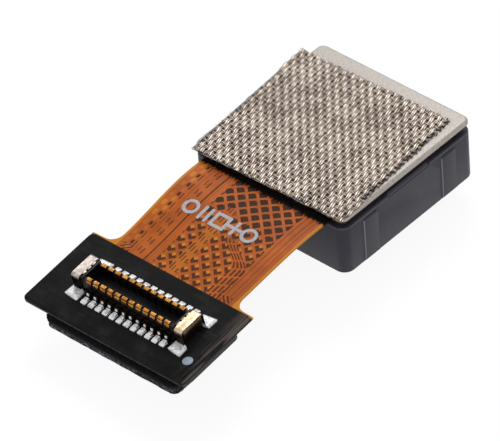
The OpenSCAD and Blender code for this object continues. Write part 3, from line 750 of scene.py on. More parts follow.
class Form:
    """A mesh being shaped in millimetres."""

    def __init__(self) -> None:
        """Starts an empty mesh."""
        self.bm = bmesh.new()

    @classmethod
    def block(cls, low: Sequence[float], high: Sequence[float], soft: float = 0.0,
              segments: int = 2) -> Form:
        """A box between two corners, with rounded edges."""
        form = cls()
        size = [top - bottom for bottom, top in zip(low, high)]
        middle = [(top + bottom) / 2 for bottom, top in zip(low, high)]
        bmesh.ops.create_cube(form.bm, size=1.0,
                              matrix=Matrix.Translation(middle) @ Matrix.Diagonal((*size, 1)))
        return form.bevel(form.sharp(60), soft, segments) if soft else form

    @classmethod
    def slab(cls, width: float, depth: float, radius: float, low: float, high: float,
             segments: int = 10) -> Form:
        """A sheet with rounded corners, centred on the Z axis."""
        form = cls.block((-width / 2, -depth / 2, low), (width / 2, depth / 2, high))
        return form.bevel(form.upright(), radius, segments)

    @classmethod
    def disc(cls, radius: float, top_radius: float, low: float, high: float, segments: int,
             middle: Point = (0.0, 0.0)) -> Form:
        """A round plug between two heights."""
        form = cls()
        bmesh.ops.create_cone(form.bm, cap_ends=True, segments=segments, radius1=radius,
                              radius2=top_radius, depth=high - low,
                              matrix=shifted(*middle, (high + low) / 2))
        return form

    @classmethod
    def turned(cls, profile: Sequence[Point], steps: int = 128, closed: bool = True) -> Form:
        """Spins a profile of (radius, height) points round the Z axis."""
        form = cls()
        points = [form.bm.verts.new((radius, 0, height)) for radius, height in profile]
        ends = list(zip(points, points[1:] + points[:1]))
        edges = [form.bm.edges.new(pair) for pair in (ends if closed else ends[:-1])]
        bmesh.ops.spin(form.bm, geom=points + edges, cent=(0, 0, 0), axis=(0, 0, 1),
                       angle=math.tau, steps=steps, use_merge=True)
        bmesh.ops.remove_doubles(form.bm, verts=form.bm.verts, dist=1e-5)
        return form.outward()

    @classmethod
    def grid(cls, columns: int, rows: int,
             place: Callable[[float, float], Sequence[float]], layer: str | None = None,
             chart: Callable[[float, float], Point] | None = None) -> Form:
        """A surface laid by a function of two shares from 0 to 1.

        Args:
            columns: number of faces along the first share.
            rows: number of faces along the second share.
            place: gives a point for each pair of shares.
            layer: name of the piece's own map, if it has one.
            chart: gives the map's values for each pair of shares.

        Returns:
            The open surface.
        """
        form = cls()
        bmesh.ops.create_grid(form.bm, x_segments=columns, y_segments=rows, size=0.5)
        if layer and chart:
            chart_layer = form.bm.loops.layers.uv.new(layer)
            for face in form.bm.faces:
                for loop in face.loops:
                    spot = loop.vert.co
                    loop[chart_layer].uv = chart(spot.x + 0.5, spot.y + 0.5)
        for vert in form.bm.verts:
            vert.co = Vector(place(vert.co.x + 0.5, vert.co.y + 0.5))
        return form

    @classmethod
    def tube(cls, rings: int, sides: int, gap: float,
             place: Callable[[float, float], Sequence[float]], layer: str | None = None,
             chart: Callable[[float, float], Point] | None = None) -> Form:
        """A grid whose long sides meet within a gap, with closed ends."""
        form = cls.grid(rings, sides, place, layer, chart)
        bmesh.ops.remove_doubles(form.bm, verts=form.bm.verts, dist=gap)
        return form.filled()

    @classmethod
    def drawn(cls, outline: Sequence[Point], low: float, high: float) -> Form:
        """A flat outline in XY, pulled up from one height to another."""
        form = cls()
        face = form.bm.faces.new([form.bm.verts.new((x, y, low)) for x, y in outline])
        form.pulled([face], high - low)
        return form.outward()

    def pulled(self, faces: Sequence[bmesh.types.BMFace], rise: float) -> None:
        """Extrudes faces along Z."""
        made = bmesh.ops.extrude_face_region(self.bm, geom=faces)["geom"]
        tops = [item for item in made if isinstance(item, bmesh.types.BMVert)]
        bmesh.ops.translate(self.bm, verts=tops, vec=(0, 0, rise))

    def outward(self) -> Form:
        """Turns every face outwards."""
        bmesh.ops.recalc_face_normals(self.bm, faces=self.bm.faces)
        return self

    def boundary(self) -> list[bmesh.types.BMEdge]:
        """The edges of openings."""
        return [edge for edge in self.bm.edges if edge.is_boundary]

    def filled(self) -> Form:
        """Closes every opening."""
        bmesh.ops.holes_fill(self.bm, edges=self.boundary())
        return self

    def halved(self, spot: Sequence[float], normal: Sequence[float]) -> None:
        """Adds a loop of edges where a plane meets the mesh."""
        bmesh.ops.bisect_plane(self.bm, geom=[*self.bm.verts, *self.bm.edges, *self.bm.faces],
                               plane_co=spot, plane_no=normal)

    def upright(self) -> list[bmesh.types.BMEdge]:
        """The edges that run along Z."""
        return [edge for edge in self.bm.edges
                if abs((edge.verts[0].co - edge.verts[1].co).normalized().z) > 0.999]

    def at(self, items: Iterable[bmesh.types.BMEdge | bmesh.types.BMFace], height: float,
           axis: int = 2) -> list:
        """The edges or faces that lie at one place along an axis."""
        return [item for item in items
                if all(abs(vert.co[axis] - height) < 1e-4 for vert in item.verts)]

    def bevel(self, edges: Iterable[bmesh.types.BMEdge], radius: float,
              segments: int = 3) -> Form:
        """Rounds edges."""
        bmesh.ops.bevel(self.bm, geom=list(edges), offset=radius, segments=segments,
                        profile=0.5, affect="EDGES", material=-1, clamp_overlap=True)
        return self

    def sharp(self, angle: float) -> list[bmesh.types.BMEdge]:
        """The edges whose faces meet at more than an angle."""
        limit = math.radians(angle)
        return [edge for edge in self.bm.edges
                if len(edge.link_faces) == 2 and edge.calc_face_angle(0.0) > limit]

    def moved(self, matrix: Matrix) -> Form:
        """Moves the whole mesh."""
        bmesh.ops.transform(self.bm, matrix=matrix, verts=self.bm.verts)
        if matrix.determinant() < 0:
            bmesh.ops.reverse_faces(self.bm, faces=self.bm.faces)
        return self

    def add(self, other: Form, matrix: Matrix | None = None) -> Form:
        """Adds a copy of another mesh, moved by a matrix."""
        scratch = bpy.data.meshes.new("scratch")
        other.bm.to_mesh(scratch)
        if matrix is not None:
            scratch.transform(matrix)
            if matrix.determinant() < 0:
                scratch.flip_normals()
        self.bm.from_mesh(scratch)
        bpy.data.meshes.remove(scratch)
        return self

    def reshaped(self, change: Callable[[Vector], Vector]) -> Form:
        """Moves every vertex by a function."""
        for vert in self.bm.verts:
            vert.co = change(vert.co.copy())
        return self

    def mesh(self, name: str) -> bpy.types.Mesh:
        """A copy of the mesh as scene data."""
        mesh = bpy.data.meshes.new(name)
        self.bm.to_mesh(mesh)
        return mesh

    def carved(self, cutter: Form) -> Form:
        """Cuts another closed mesh out of this one."""
        body, tool = placed("body", self.mesh("body")), placed("tool", cutter.mesh("tool"))
        cut = body.modifiers.new("cut", "BOOLEAN")
        cut.operation, cut.solver, cut.object = "DIFFERENCE", "EXACT", tool
        graph = bpy.context.evaluated_depsgraph_get()
        result = bpy.data.meshes.new_from_object(body.evaluated_get(graph))
        self.bm.clear()
        self.bm.from_mesh(result)
        for holder in (body, tool):
            mesh = holder.data
            bpy.data.objects.remove(holder)
            bpy.data.meshes.remove(mesh)
        bpy.data.meshes.remove(result)
        return self

    def piece(self, name: str, material: bpy.types.Material, slot: Slot,
              nodes: Sequence[str] = (), smooth: float = 35.0) -> bpy.types.Object:
        """Turns the mesh into a finished piece of the part.

        Args:
            name: the piece's name.
            material: its finish.
            slot: the record's material slot; not used.
            nodes: the solids that it stands for.
            smooth: the angle past which an edge stays sharp.

        Returns:
            The new object, which rides on the part's body.
        """
        bmesh.ops.scale(self.bm, vec=(MM, MM, MM), verts=self.bm.verts)
        for face in self.bm.faces:
            face.smooth = True
        mesh = self.mesh(name)
        self.bm.free()
        mesh.set_sharp_from_angle(angle=math.radians(smooth))
        mesh.materials.append(material)
        made = placed(name, mesh)
        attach(made, BODY)
        if nodes:
            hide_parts(*nodes)
        LOG.info("%s: %d faces", name, len(mesh.polygons))
        return made


def ribbon(path: Sequence[Point], width: float, thickness: float, soft: float) -> Form:
    """Bends a strip of metal along a path in the YZ plane.

    Args:
        path: (y, z) points of the strip's outer face.
        width: the strip's width along X.
        thickness: the metal's thickness, inwards from the path.
        soft: radius of the strip's rounded edges.

    Returns:
        The closed strip, centred on X.
    """
    last = len(path) - 1

    def place(across: float, along: float) -> tuple[float, float, float]:
        """Lays one vertex of the strip."""
        y, z = path[round(along * last)]
        return (across - 0.5) * width, y, z

    strip = Form.grid(2, last, place)
    bmesh.ops.solidify(strip.bm, geom=strip.bm.faces, thickness=thickness)
    return strip.outward().bevel(strip.sharp(60), soft, 2)


def arc(y: float, z: float, radius: float, start: float, end: float,
        steps: int = 8) -> list[Point]:
    """Points on an arc in the YZ plane, with angles in degrees from +Y towards +Z."""
    turns = [math.radians(start + (end - start) * k / steps) for k in range(steps + 1)]
    return [(y + radius * math.cos(turn), z + radius * math.sin(turn)) for turn in turns]


# ---- layout shared by the sub-assemblies ----


@dataclass(frozen=True)
class Seat:
    """Where the plug sits: a tilted frame at the end of the tail."""

    x: float = 0.083
    reach: float = 12.125
    height: float = 2.744
    pitch: float = 8.56
    roll: float = -2.3
    yaw: float = -1.5

    def matrix(self) -> Matrix:
        """The seat's frame in the part's frame."""
        return shifted(self.x, -self.reach, self.height) @ (
            rotation(self.yaw) @ rotation(self.roll, "Y") @ rotation(self.pitch, "X"))

    def point(self, x: float, y: float, h: float) -> Vector:
        """A point of the seat's frame in the part's frame."""
        return self.matrix() @ Vector((x, y, h))

    def course(self, axis: int) -> tuple[Vector, float]:
        """One of the seat's directions, and how far along it the seat lies."""
        way = self.matrix().to_3x3().col[axis]
        return way, way.dot(self.point(0, 0, 0))


@dataclass(frozen=True)
class TailPath:
    """The flexible sheet's middle line and its width at each place."""

    seat: Seat = Seat()
    top: float = 3.69
    board: float = 7.81
    width: float = 6.7
    tail_x: float = 0.045
    neck_x: float = -0.09
    bend_y: float = -5.0
    neck_y: float = 2.68
    head_back: float = 2.13
    head_front: float = -2.25
    head_left: float = 4.56
    head_right: float = 4.44
    cover: float = 0.04
    fillet: float = 0.55
    corner: float = 0.25
    lap: float = 0.02

    def bend(self, share: float) -> tuple[Vector, Vector, Vector]:
        """The free bend's middle, direction across and upward normal."""
        frame = self.seat.matrix().to_3x3()
        across_end, along = frame.col[0], frame.col[1]
        start = Vector((self.tail_x, self.bend_y, self.top))
        end = self.seat.point(self.neck_x, self.neck_y, -self.cover)
        pull = (end - start).length
        leave, arrive = Vector((0, -pull, 0)), -pull * along
        t = share
        spot = ((2 * t**3 - 3 * t**2 + 1) * start + (t**3 - 2 * t**2 + t) * leave
                + (3 * t**2 - 2 * t**3) * end + (t**3 - t**2) * arrive)
        speed = ((6 * t**2 - 6 * t) * (start - end) + (3 * t**2 - 4 * t + 1) * leave
                 + (3 * t**2 - 2 * t) * arrive)
        flat = Vector((1, 0, 0)).lerp(across_end, ease(t))
        up = speed.cross(flat).normalized()
        return spot, up.cross(speed).normalized(), up

    def length(self) -> float:
        """Length of the free bend's middle line."""
        spots = [self.bend(k / 64)[0] for k in range(65)]
        return sum((b - a).length for a, b in zip(spots, spots[1:]))

    def stations(self) -> list[tuple[Vector, Vector, Vector, float, float, float]]:
        """Middle, across, up, left and right reach, and place along, from the board out."""
        half, body = self.width / 2, self.board / 2
        flat, up = Vector((1, 0, 0)), Vector((0, 0, 1))
        length, steps, corner_steps = self.length(), 40, 8
        frame = self.seat.matrix().to_3x3()
        rows = []

        def level(y: float, left: float, right: float) -> None:
            """Adds a station of the straight part."""
            rows.append((Vector((self.tail_x, y, self.top)), flat, up, left, right,
                         self.bend_y - y))

        def headed(y: float, left: float, right: float) -> None:
            """Adds a station of the head."""
            rows.append((self.seat.point(self.neck_x, y, -self.cover), frame.col[0],
                         frame.col[2], left, right, length + self.neck_y - y))

        for k in range(9):
            level(body - 2 * body * k / 8, body + self.tail_x, body - self.tail_x)
        edge = body + self.lap
        for k in range(7):
            level(-edge + (self.bend_y + edge) * k / 6, half, half)
        for k in range(1, steps + 1):
            rows.append((*self.bend(k / steps), half, half, length * k / steps))
        for k in range(1, corner_steps + 1):
            turn = math.radians(90 * k / corner_steps)
            wide = half + self.fillet * (1 - math.cos(turn))
            headed(self.head_back + self.fillet * (1 - math.sin(turn)), wide, wide)
        edge = self.head_back - self.lap
        for k in range(7):
            headed(edge + (self.head_front + self.corner - edge) * k / 7, self.head_left,
                   self.head_right)
        for k in range(corner_steps + 1):
            turn = math.radians(90 * k / corner_steps)
            cut = self.corner * (1 - math.cos(turn))
            headed(self.head_front + self.corner * (1 - math.sin(turn)),
                   self.head_left - cut, self.head_right - cut)
        return rows

    def surface(self, u: float, v: float, lift: float) -> Vector:
        """A point over the free bend, u across and v along from its start."""
        spot, across, up = self.bend(v / self.length())
        return spot + u * across + lift * up


# ---- sub-assemblies ----


@dataclass
class Optics:
    """The lens barrel, its first lens and the rings inside."""

    head_r: float = 3.1
    thread_r: float = 2.92
    thread: float = 0.05
    turns: int = 6
    out: float = 1.0
    length: float = 2.05
    chamfer: float = 0.1
    mouth_r: float = 1.85
    aperture_r: float = 1.0
    cone_z: float = 0.35
    cone_steps: int = 5
    seats: tuple[float, ...] = (1.45, 1.77, 2.09, 2.41)
    front_wall: float = 0.45
    rim: float = 0.3
    spacer: float = 0.02
    notch: float = 0.14
    notch_w: float = 0.5
    notches: int = 6
    rise: float = 0.28
    hollow: float = 0.04

    def build(self) -> None:
        """Builds and dresses the barrel and the first lens."""
        self.barrel()
        self.front_lens()

    def barrel(self) -> None:
        """Turns the stepped barrel with its cone, seats and grip notches."""
        body = Form.turned(self.outline())
        cutter = Form()
        box = Form.block((self.head_r - self.notch, -self.notch_w / 2, -0.1),
                         (self.head_r + 0.2, self.notch_w / 2, self.out / 2))
        box.bevel(box.upright(), 0.05, 3)
        for k in range(self.notches):
            cutter.add(box, rotation(k * 360 / self.notches + 30))
        body.carved(cutter)
        finish = Moulded("barrel_moulding", tint(38, 38, 40), tint(56, 56, 59), 0.42, 14, 0.004)
        body.piece("barrel_with_grips", finish.material(), Slot.BARREL, ["lens_barrel"], 30)

    def outline(self) -> list[Point]:
        """The barrel's section, with fine threads and light-trap steps in the cone."""
        cone = [(self.mouth_r, 0.0)]
        for k in range(self.cone_steps):
            share, after = k / self.cone_steps, (k + 1) / self.cone_steps
            reach = self.mouth_r + (self.aperture_r - self.mouth_r) * after
            cone += [(reach + 0.02, self.cone_z * share + 0.02), (reach, self.cone_z * after)]
        outer = [(self.head_r - self.chamfer, 0.0), (self.head_r - 0.03, 0.03),
                 (self.head_r, self.chamfer), (self.head_r, self.out - 0.02),
                 (self.head_r - 0.02, self.out), (self.thread_r, self.out)]
        for k in range(self.turns):
            base = self.out + 0.1 + k * (self.length - self.out - 0.15) / self.turns
            outer += [(self.thread_r, base), (self.thread_r - self.thread, base + 0.07)]
        outer.append((self.thread_r, self.length))
        inner = []
        for k in range(len(self.seats) - 1, -1, -1):
            start = self.front_wall + k * (self.rim + self.spacer)
            top = self.length if k == len(self.seats) - 1 else start + self.rim + self.spacer
            inner += [(self.seats[k], top), (self.seats[k], start)]
        return outer + inner + [(self.aperture_r, self.front_wall)] + cone[::-1]

    def front_lens(self) -> None:
        """Turns the first lens, with its curved faces and flat rim."""
        optic, rim_r = self.aperture_r - 0.05, self.seats[0] - 0.01
        near, far, steps = self.front_wall, self.front_wall + self.rim, 16
        front, back = ([(optic * k / steps, height - bulge * (1 - (k / steps) ** 2))
                        for k in range(steps + 1)]
                       for height, bulge in ((near, self.rise), (far, self.hollow)))
        body = Form.turned(front + [(rim_r, near), (rim_r, far)] + back[::-1], 96, False)
        finish = Glass("coated_glass", tint(40, 48, 78), tint(80, 60, 110))
        body.piece("front_lens", finish.material(), Slot.GLASS, ["lens_1"], 40)


@dataclass
class Housing:
    """The square moulded holder with its ribs, relief and chamber."""

    width: float = 8.28
    corner_r: float = 0.5
    low: float = 1.0
    rim: float = 3.46
    chamfer: float = 0.1
    foot: float = 0.06
    bore_r: float = 2.95
    shelf: float = 2.15
    pocket: float = 2.35
    pocket_w: float = 5.7
    window_w: float = 4.8
    chamber: float = 2.59
    chamber_w: float = 7.04
    inner_r: float = 0.3
    rib_w: float = 0.92
    rib_spacing: float = 4.95
    rib_proud: float = 0.05
    rib_soft: float = 0.045
    rib_shoulder: float = 0.15
    relief_l: float = 2.6
    relief_drop: float = 0.16
    relief_inset: float = 0.13
    over: float = 0.05

    def build(self) -> None:
        """Builds and dresses the holder."""
        body = Form.slab(self.width, self.width, self.corner_r, self.low, self.rim, 12)
        body.bevel(body.at(body.bm.edges, self.rim), self.chamfer, 2)
        body.bevel(body.at(body.bm.edges, self.low), self.foot, 3)
        sides = [rotation(turn) for turn in (0.0, 180.0)]
        for cutter in self.hollows() + [self.relief().moved(side) for side in sides]:
            body.carved(cutter)
        for side in sides:
            for row in ROWS:
                body.add(self.rib(), side @ shifted(y=row * self.rib_spacing / 2))
        # places along Y of the ribs' painted highlights and painted shade lines, then the rim's
        # painted highlight level
        edges = [[row * self.rib_spacing / 2 + end for row in ROWS]
                 for end in (0.02 - self.rib_w / 2, self.rib_w / 2 + 0.015)]
        finish = Moulded("holder_moulding", tint(36, 35, 44), tint(56, 54, 66), 0.42, 16, 0.0025,
                         0.25, *edges, self.width / 2, self.rim - self.chamfer)
        body.piece("holder", finish.material(), Slot.HOUSING, ["housing"], 30)

    def hollows(self) -> list[Form]:
        """The chamber, the filter pocket, the window and the barrel's bore."""
        squares = ((self.chamber_w, self.chamber, self.rim + 2 * self.over),
                   (self.pocket_w, self.pocket, self.chamber + self.over),
                   (self.window_w, self.shelf - self.over, self.pocket + self.over))
        return [Form.slab(width, width, self.inner_r, low, high)
                for width, low, high in squares] + [
            Form.disc(self.bore_r, self.bore_r, self.low - 2 * self.over, self.shelf, 96)]

    def rib(self) -> Form:
        """One upright rib of the +X side, with rounded shoulders."""
        face, foot = self.width / 2, self.low + self.foot
        top = self.rim - self.chamfer - 0.12
        rib = Form.block((face - 0.1, -self.rib_w / 2, foot),
                         (face + self.rib_proud, self.rib_w / 2, top))
        shoulders = [edge for edge in rib.at(rib.bm.edges, top)
                     if abs(edge.verts[0].co.y - edge.verts[1].co.y) < 1e-5]
        rib.bevel(shoulders, self.rib_shoulder, 6)
        outer = rib.at(rib.sharp(60), face + self.rib_proud, 0)
        rib.bevel(outer, self.rib_soft, 3)
        for level in (top - self.rib_shoulder - 0.01, foot + 0.01):
            rib.halved((0, 0, level), (0, 0, 1))
        return rib

    def relief(self) -> Form:
        """The wedge that is cut out of the rim over the middle of the +X side."""
        face, clear = self.width / 2, 0.2
        outline = [(face + clear, self.rim - self.relief_drop), (face, self.rim - self.relief_drop),
                   (face - self.relief_inset, self.rim),
                   (face - self.relief_inset, self.rim + 0.1), (face + clear, self.rim + 0.1)]
        return Form.drawn(outline, -self.relief_l / 2, self.relief_l / 2).moved(rotation(90, "X"))


@dataclass
class BackPlate:
    """The stamped plate that closes the back, with its turned-down rim."""

    width: float = 8.17
    corner_r: float = 0.32
    bend_r: float = 0.13
    top: float = 4.0
    rim: float = 0.23
    metal: float = 0.16

    def build(self) -> None:
        """Builds and dresses the plate."""
        low = self.top - self.rim
        plate = Form.slab(self.width, self.width, self.corner_r, low, self.top, 10)
        plate.bevel(plate.at(plate.bm.edges, self.top), self.bend_r, 6)
        base = plate.at(plate.bm.faces, low)
        bmesh.ops.inset_region(plate.bm, faces=base, thickness=self.metal, use_even_offset=True)
        plate.pulled(base, self.rim - self.metal)
        bmesh.ops.delete(plate.bm, geom=base, context="FACES_ONLY")
        finish = Metal("stamped_plate", tint(184, 177, 170), tint(160, 153, 147), 0.5, 0.6,
                       (6.0, 9.0, 3.0), 0.0016, 11.0)
        plate.outward().piece("stamped_plate", finish.material(), Slot.PLATE, ["back_plate"], 40)


@dataclass(frozen=True)
class Strand:
    """One set of the cloth's yarns."""

    name: str
    half_w: float
    half_t: float
    lift: float
    sign: int
    crown: Colour
    middle: Colour


@dataclass
class Cloth:
    """The woven conductive cloth on the plate: two sets of yarns and their frays.

    The yarns sway sideways at each crossing, so that one kind of gap opens and the other
    closes.
    """

    x: float = -0.11
    y: float = -0.56
    width: float = 7.92
    depth: float = 7.64
    turn: float = 1.6
    skew: float = 2.7
    low: float = 4.03
    high: float = 4.13
    warp_pitch: float = 0.22
    weft_pitch: float = 0.288
    warp_lean: float = 4.2
    weft_lean: float = 5.4
    sway: float = 0.025
    swing: float = 0.016
    rows: int = 20
    columns: int = 26
    shade_backing_share: float = 0.985
    shade_backing_t: float = 0.006
    hairs: tuple[int, ...] = (50, 34, 40, 74)
    seed: int = 7
    rng: random.Random = field(init=False)

    def __post_init__(self) -> None:
        """Starts the seeded scatter."""
        self.rng = random.Random(self.seed)

    def corners(self) -> list[Vector]:
        """The cloth's four corners, counter-clockwise."""
        lean = math.tan(math.radians(self.skew)) * self.depth / 2
        half_w, half_d = self.width / 2, self.depth / 2
        turn = Matrix.Rotation(math.radians(self.turn), 2)
        flat = [(lean - half_w, -half_d), (lean + half_w, -half_d), (half_w - lean, half_d),
                (-lean - half_w, half_d)]
        return [turn @ Vector(spot) + Vector((self.x, self.y)) for spot in flat]

    def sides(self) -> list[tuple[Vector, Vector]]:
        """The ends of each side."""
        spots = self.corners()
        return list(zip(spots, spots[1:] + spots[:1]))

    def span(self, start: Vector, course: Vector) -> Point | None:
        """Where a straight line is inside the cloth.

        Args:
            start: a point of the line.
            course: its direction for one unit.

        Returns:
            The first and last place along it, or None where it misses.
        """
        first, last, shortest = -1e9, 1e9, 0.6
        for a, b in self.sides():
            side = Vector((a.y - b.y, b.x - a.x))
            reach, rate = side.dot(start - a), side.dot(course)
            if rate > 0:
                first = max(first, -reach / rate)
            else:
                last = min(last, -reach / rate)
        return (first, last) if last - first > shortest else None

    def build(self) -> None:
        """Weaves and dresses the cloth."""
        wefts = Strand("weft_yarn", 0.08, 0.023, -0.006, -1, tint(255, 238, 222),
                       tint(190, 168, 150))
        warps = Strand("warp_yarn", 0.1, 0.026, 0.006, 1, tint(255, 246, 234),
                       tint(196, 174, 156))
        middle = Vector((self.x, self.y))
        square = math.cos(math.radians(self.weft_lean - self.warp_lean))
        weft, warp = math.radians(self.weft_lean), math.radians(self.warp_lean)
        across = Vector((math.cos(weft), math.sin(weft))) * (self.warp_pitch / square)
        along = Vector((-math.sin(warp), math.cos(warp))) * (self.weft_pitch / square)
        woven = []
        for strand, course, step, reach in ((wefts, across, along, self.rows),
                                            (warps, along, across, self.columns)):
            form = Form()
            form.bm.loops.layers.uv.new("yarn")
            for count in range(-reach, reach + 1):
                self.yarn(form, strand, middle + count * step, course, count)
            woven.append((strand, form))
        self.shade_backing()
        for strand, form in woven:
            # the crown colour is a painted highlight and the valley colour is painted shade
            finish = Yarn(strand.name, strand.crown, strand.middle, tint(24, 17, 12), self.low,
                          self.high)
            form.piece(f"{strand.name}s", finish.material(), Slot.CLOTH, ["grounding_cloth"], 70)
        self.frays()

    def shade_backing(self) -> None:
        """A dark sheet under the yarns that shows between them as painted shade."""
        middle = Vector((self.x, self.y))
        back = Form.drawn([middle.lerp(spot, self.shade_backing_share) for spot in self.corners()],
                          self.low, self.low + self.shade_backing_t)
        # this dark sheet is painted shade between the yarns
        finish = Moulded("cloth_shade_backing", tint(44, 35, 28), tint(56, 46, 38), 0.6)
        back.piece("cloth_shade_backing", finish.material(), Slot.CLOTH, ["grounding_cloth"], 30)

    def yarn(self, target: Form, strand: Strand, start: Vector, course: Vector,
             count: int) -> None:
        """Adds one yarn that passes over and under the other set.

        Args:
            target: the mesh that the yarn joins.
            strand: the set that it belongs to.
            start: where it crosses the cloth's middle line.
            course: its direction, one crossing of the other set for each unit.
            count: the yarn's number, which decides where it passes over.
        """
        found = self.span(start, course)
        if found is None:
            return
        first = found[0] - self.rng.uniform(-0.1, 0.25)
        last = found[1] + self.rng.uniform(-0.1, 0.25)
        rings = max(6, round((last - first) * 6))
        side = Vector((-course.y, course.x)).normalized()
        wander = self.rng.uniform(0, math.tau)
        plump = self.rng.uniform(0.93, 1.06)
        level, phase = (self.high + self.low) / 2 + strand.lift, 1 if count % 2 == 0 else -1

        def place(along: float, around: float) -> tuple[float, float, float]:
            """Lays one vertex of the yarn."""
            t = first + (last - first) * along
            angle = math.tau * around
            beat = math.cos(math.pi * t) * phase * strand.sign
            wide = strand.half_w * plump * (0.93 + 0.13 * beat)
            sway = self.sway * math.sin(math.pi * t) * phase
            spot = start + course * t + side * (
                0.012 * math.sin(0.9 * t + wander) + sway + wide * math.cos(angle))
            end = min(1.0, along * rings / 2, (1 - along) * rings / 2)
            return (spot.x, spot.y, level + self.swing * beat
                    + strand.half_t * math.sin(angle) * (0.5 + 0.5 * end))

        def chart(along: float, around: float) -> Point:
            """Maps a vertex in crossings and turns."""
            return along * (last - first) + count * 7.3, around

        tube = Form.tube(rings, 8, 1e-5, place, "yarn", chart)
        target.add(tube.outward())
        tube.bm.free()

    def frays(self) -> None:
        """Adds loose filaments along the cut edges."""
        hairs = Form()
        for (a, b), count in zip(self.sides(), self.hairs):
            outward = Vector((b.y - a.y, a.x - b.x)).normalized()
            for _ in range(count):
                start = a.lerp(b, self.rng.random()) - outward * 0.12
                course = Matrix.Rotation(self.rng.gauss(0, 0.5), 2) @ outward
                self.hair(hairs, start, course, self.rng.uniform(0.16, 0.34))
        # the third colour is painted shade in the filaments' low parts
        finish = Yarn("loose_filament", tint(215, 205, 190), tint(150, 138, 124),
                      tint(70, 60, 52), self.low, self.high)
        hairs.bm.loops.layers.uv.new("yarn")
        hairs.piece("cloth_frays", finish.material(), Slot.CLOTH, ["grounding_cloth"], 80)

    def hair(self, target: Form, start: Vector, course: Vector, length: float) -> None:
        """Adds one bent filament."""
        lift, sag = self.rng.uniform(0.03, 0.085), self.rng.uniform(-0.03, 0.01)
        curl, radius = self.rng.gauss(0, 0.09), self.rng.uniform(0.004, 0.008)
        side = Vector((-course.y, course.x))

        def place(along: float, around: float) -> tuple[float, float, float]:
            """Lays one vertex of the filament."""
            angle, thin = math.tau * around, radius * (1 - 0.6 * along)
            flat = start + course * (length * along) + side * (
                curl * along * along + thin * math.cos(angle))
            return flat.x, flat.y, self.low + lift + sag * along + thin * math.sin(angle)

        tube = Form.tube(5, 4, 1e-6, place)
        target.add(tube)
        tube.bm.free()


@dataclass
class Tail:
    """The flexible circuit, from the board to the head, with its printed marks."""

    path: TailPath = field(default_factory=TailPath)
    sheet: float = 0.1
    mark_v: float = 1.82
    mark_h: float = 0.78
    drawn_h: float = 0.6
    stroke: float = 0.118
    ink_t: float = 0.008

    def build(self) -> None:
        """Builds and dresses the sheet and the marks."""
        self.circuit()
        self.marks()

    def circuit(self) -> None:
        """Lays the sheet through its stations and gives it its thickness."""
        rows = self.path.stations()
        last = len(rows) - 1

        def reach(across: float, row: int) -> float:
            """Place across the tail for a share of its width."""
            _, _, _, left, right, _ = rows[row]
            return -left + (left + right) * across

        def place(across: float, along: float) -> Vector:
            """Lays one vertex of the top face."""
            row = round(along * last)
            return rows[row][0] + rows[row][1] * reach(across, row)

        def chart(across: float, along: float) -> Point:
            """Maps a vertex in millimetres."""
            row = round(along * last)
            return reach(across, row), rows[row][5]

        film = Form.grid(24, last, place, "tail", chart)
        if sum(face.normal.z for face in film.bm.faces) < 0:
            bmesh.ops.reverse_faces(film.bm, faces=film.bm.faces)
        film.bm.normal_update()
        bmesh.ops.solidify(film.bm, geom=film.bm.faces, thickness=-self.sheet)
        # the last colour is the painted shadow under the cloth and the head
        finish = Circuit("amber_circuit", tint(178, 84, 18), tint(204, 102, 30),
                         tint(190, 104, 24), tint(220, 142, 34), tint(28, 20, 14),
                         tint(58, 42, 26), tint(12, 9, 8), self.path.length())
        film.piece("amber_tail", finish.material(), Slot.POLYIMIDE, ["flex_circuit"], 50)

    def marks(self) -> None:
        """Prints a plain row of process shapes across the tail."""
        ink, size = Form(), Matrix.Scale(self.mark_h / self.drawn_h, 4)
        bars = self.strokes(0.04, 3, ((0, -0.13), (0, 0.13)))
        frame = self.strokes(0.02, 2, [(90 * side, 0.25) for side in range(4)])
        cross = self.strokes(0.03, 3, ((0, 0.0), (90, 0.0)))
        for form, u in ((self.ring(), -1.88), (bars, -1.08), (frame, -0.27), (cross, 0.52),
                        (self.ring(), 1.28)):
            form.moved(shifted(u, self.mark_v) @ size)
            bmesh.ops.subdivide_edges(form.bm, edges=form.bm.edges, cuts=2, use_grid_fill=True)
            form.reshaped(lambda spot: self.path.surface(
                spot.x, spot.y, 0.001 + (self.ink_t if spot.z > 0.001 else 0.0)))
            ink.add(form)
            form.bm.free()
        finish = Ink("pale_ink", tint(196, 198, 206), tint(168, 160, 160))
        ink.piece("process_marks", finish.material(), Slot.POLYIMIDE, (), 40)

    def ring(self) -> Form:
        """An open circle."""
        outer = self.drawn_h / 2
        inner = outer - self.stroke
        return Form.turned([(inner, 0.0), (outer, 0.0), (outer, 0.01), (inner, 0.01)], 32)

    def strokes(self, corner: float, segments: int, spots: Sequence[Point]) -> Form:
        """A shape of straight strokes.

        Args:
            corner: radius of a stroke's corners.
            segments: steps of each corner.
            spots: each stroke's turn in degrees and its distance from the middle.

        Returns:
            The flat shape.
        """
        form = Form()
        for turn, aside in spots:
            form.add(Form.slab(self.stroke, self.drawn_h, corner, 0.0, 0.01, segments),
                     rotation(turn) @ shifted(aside))
        return form


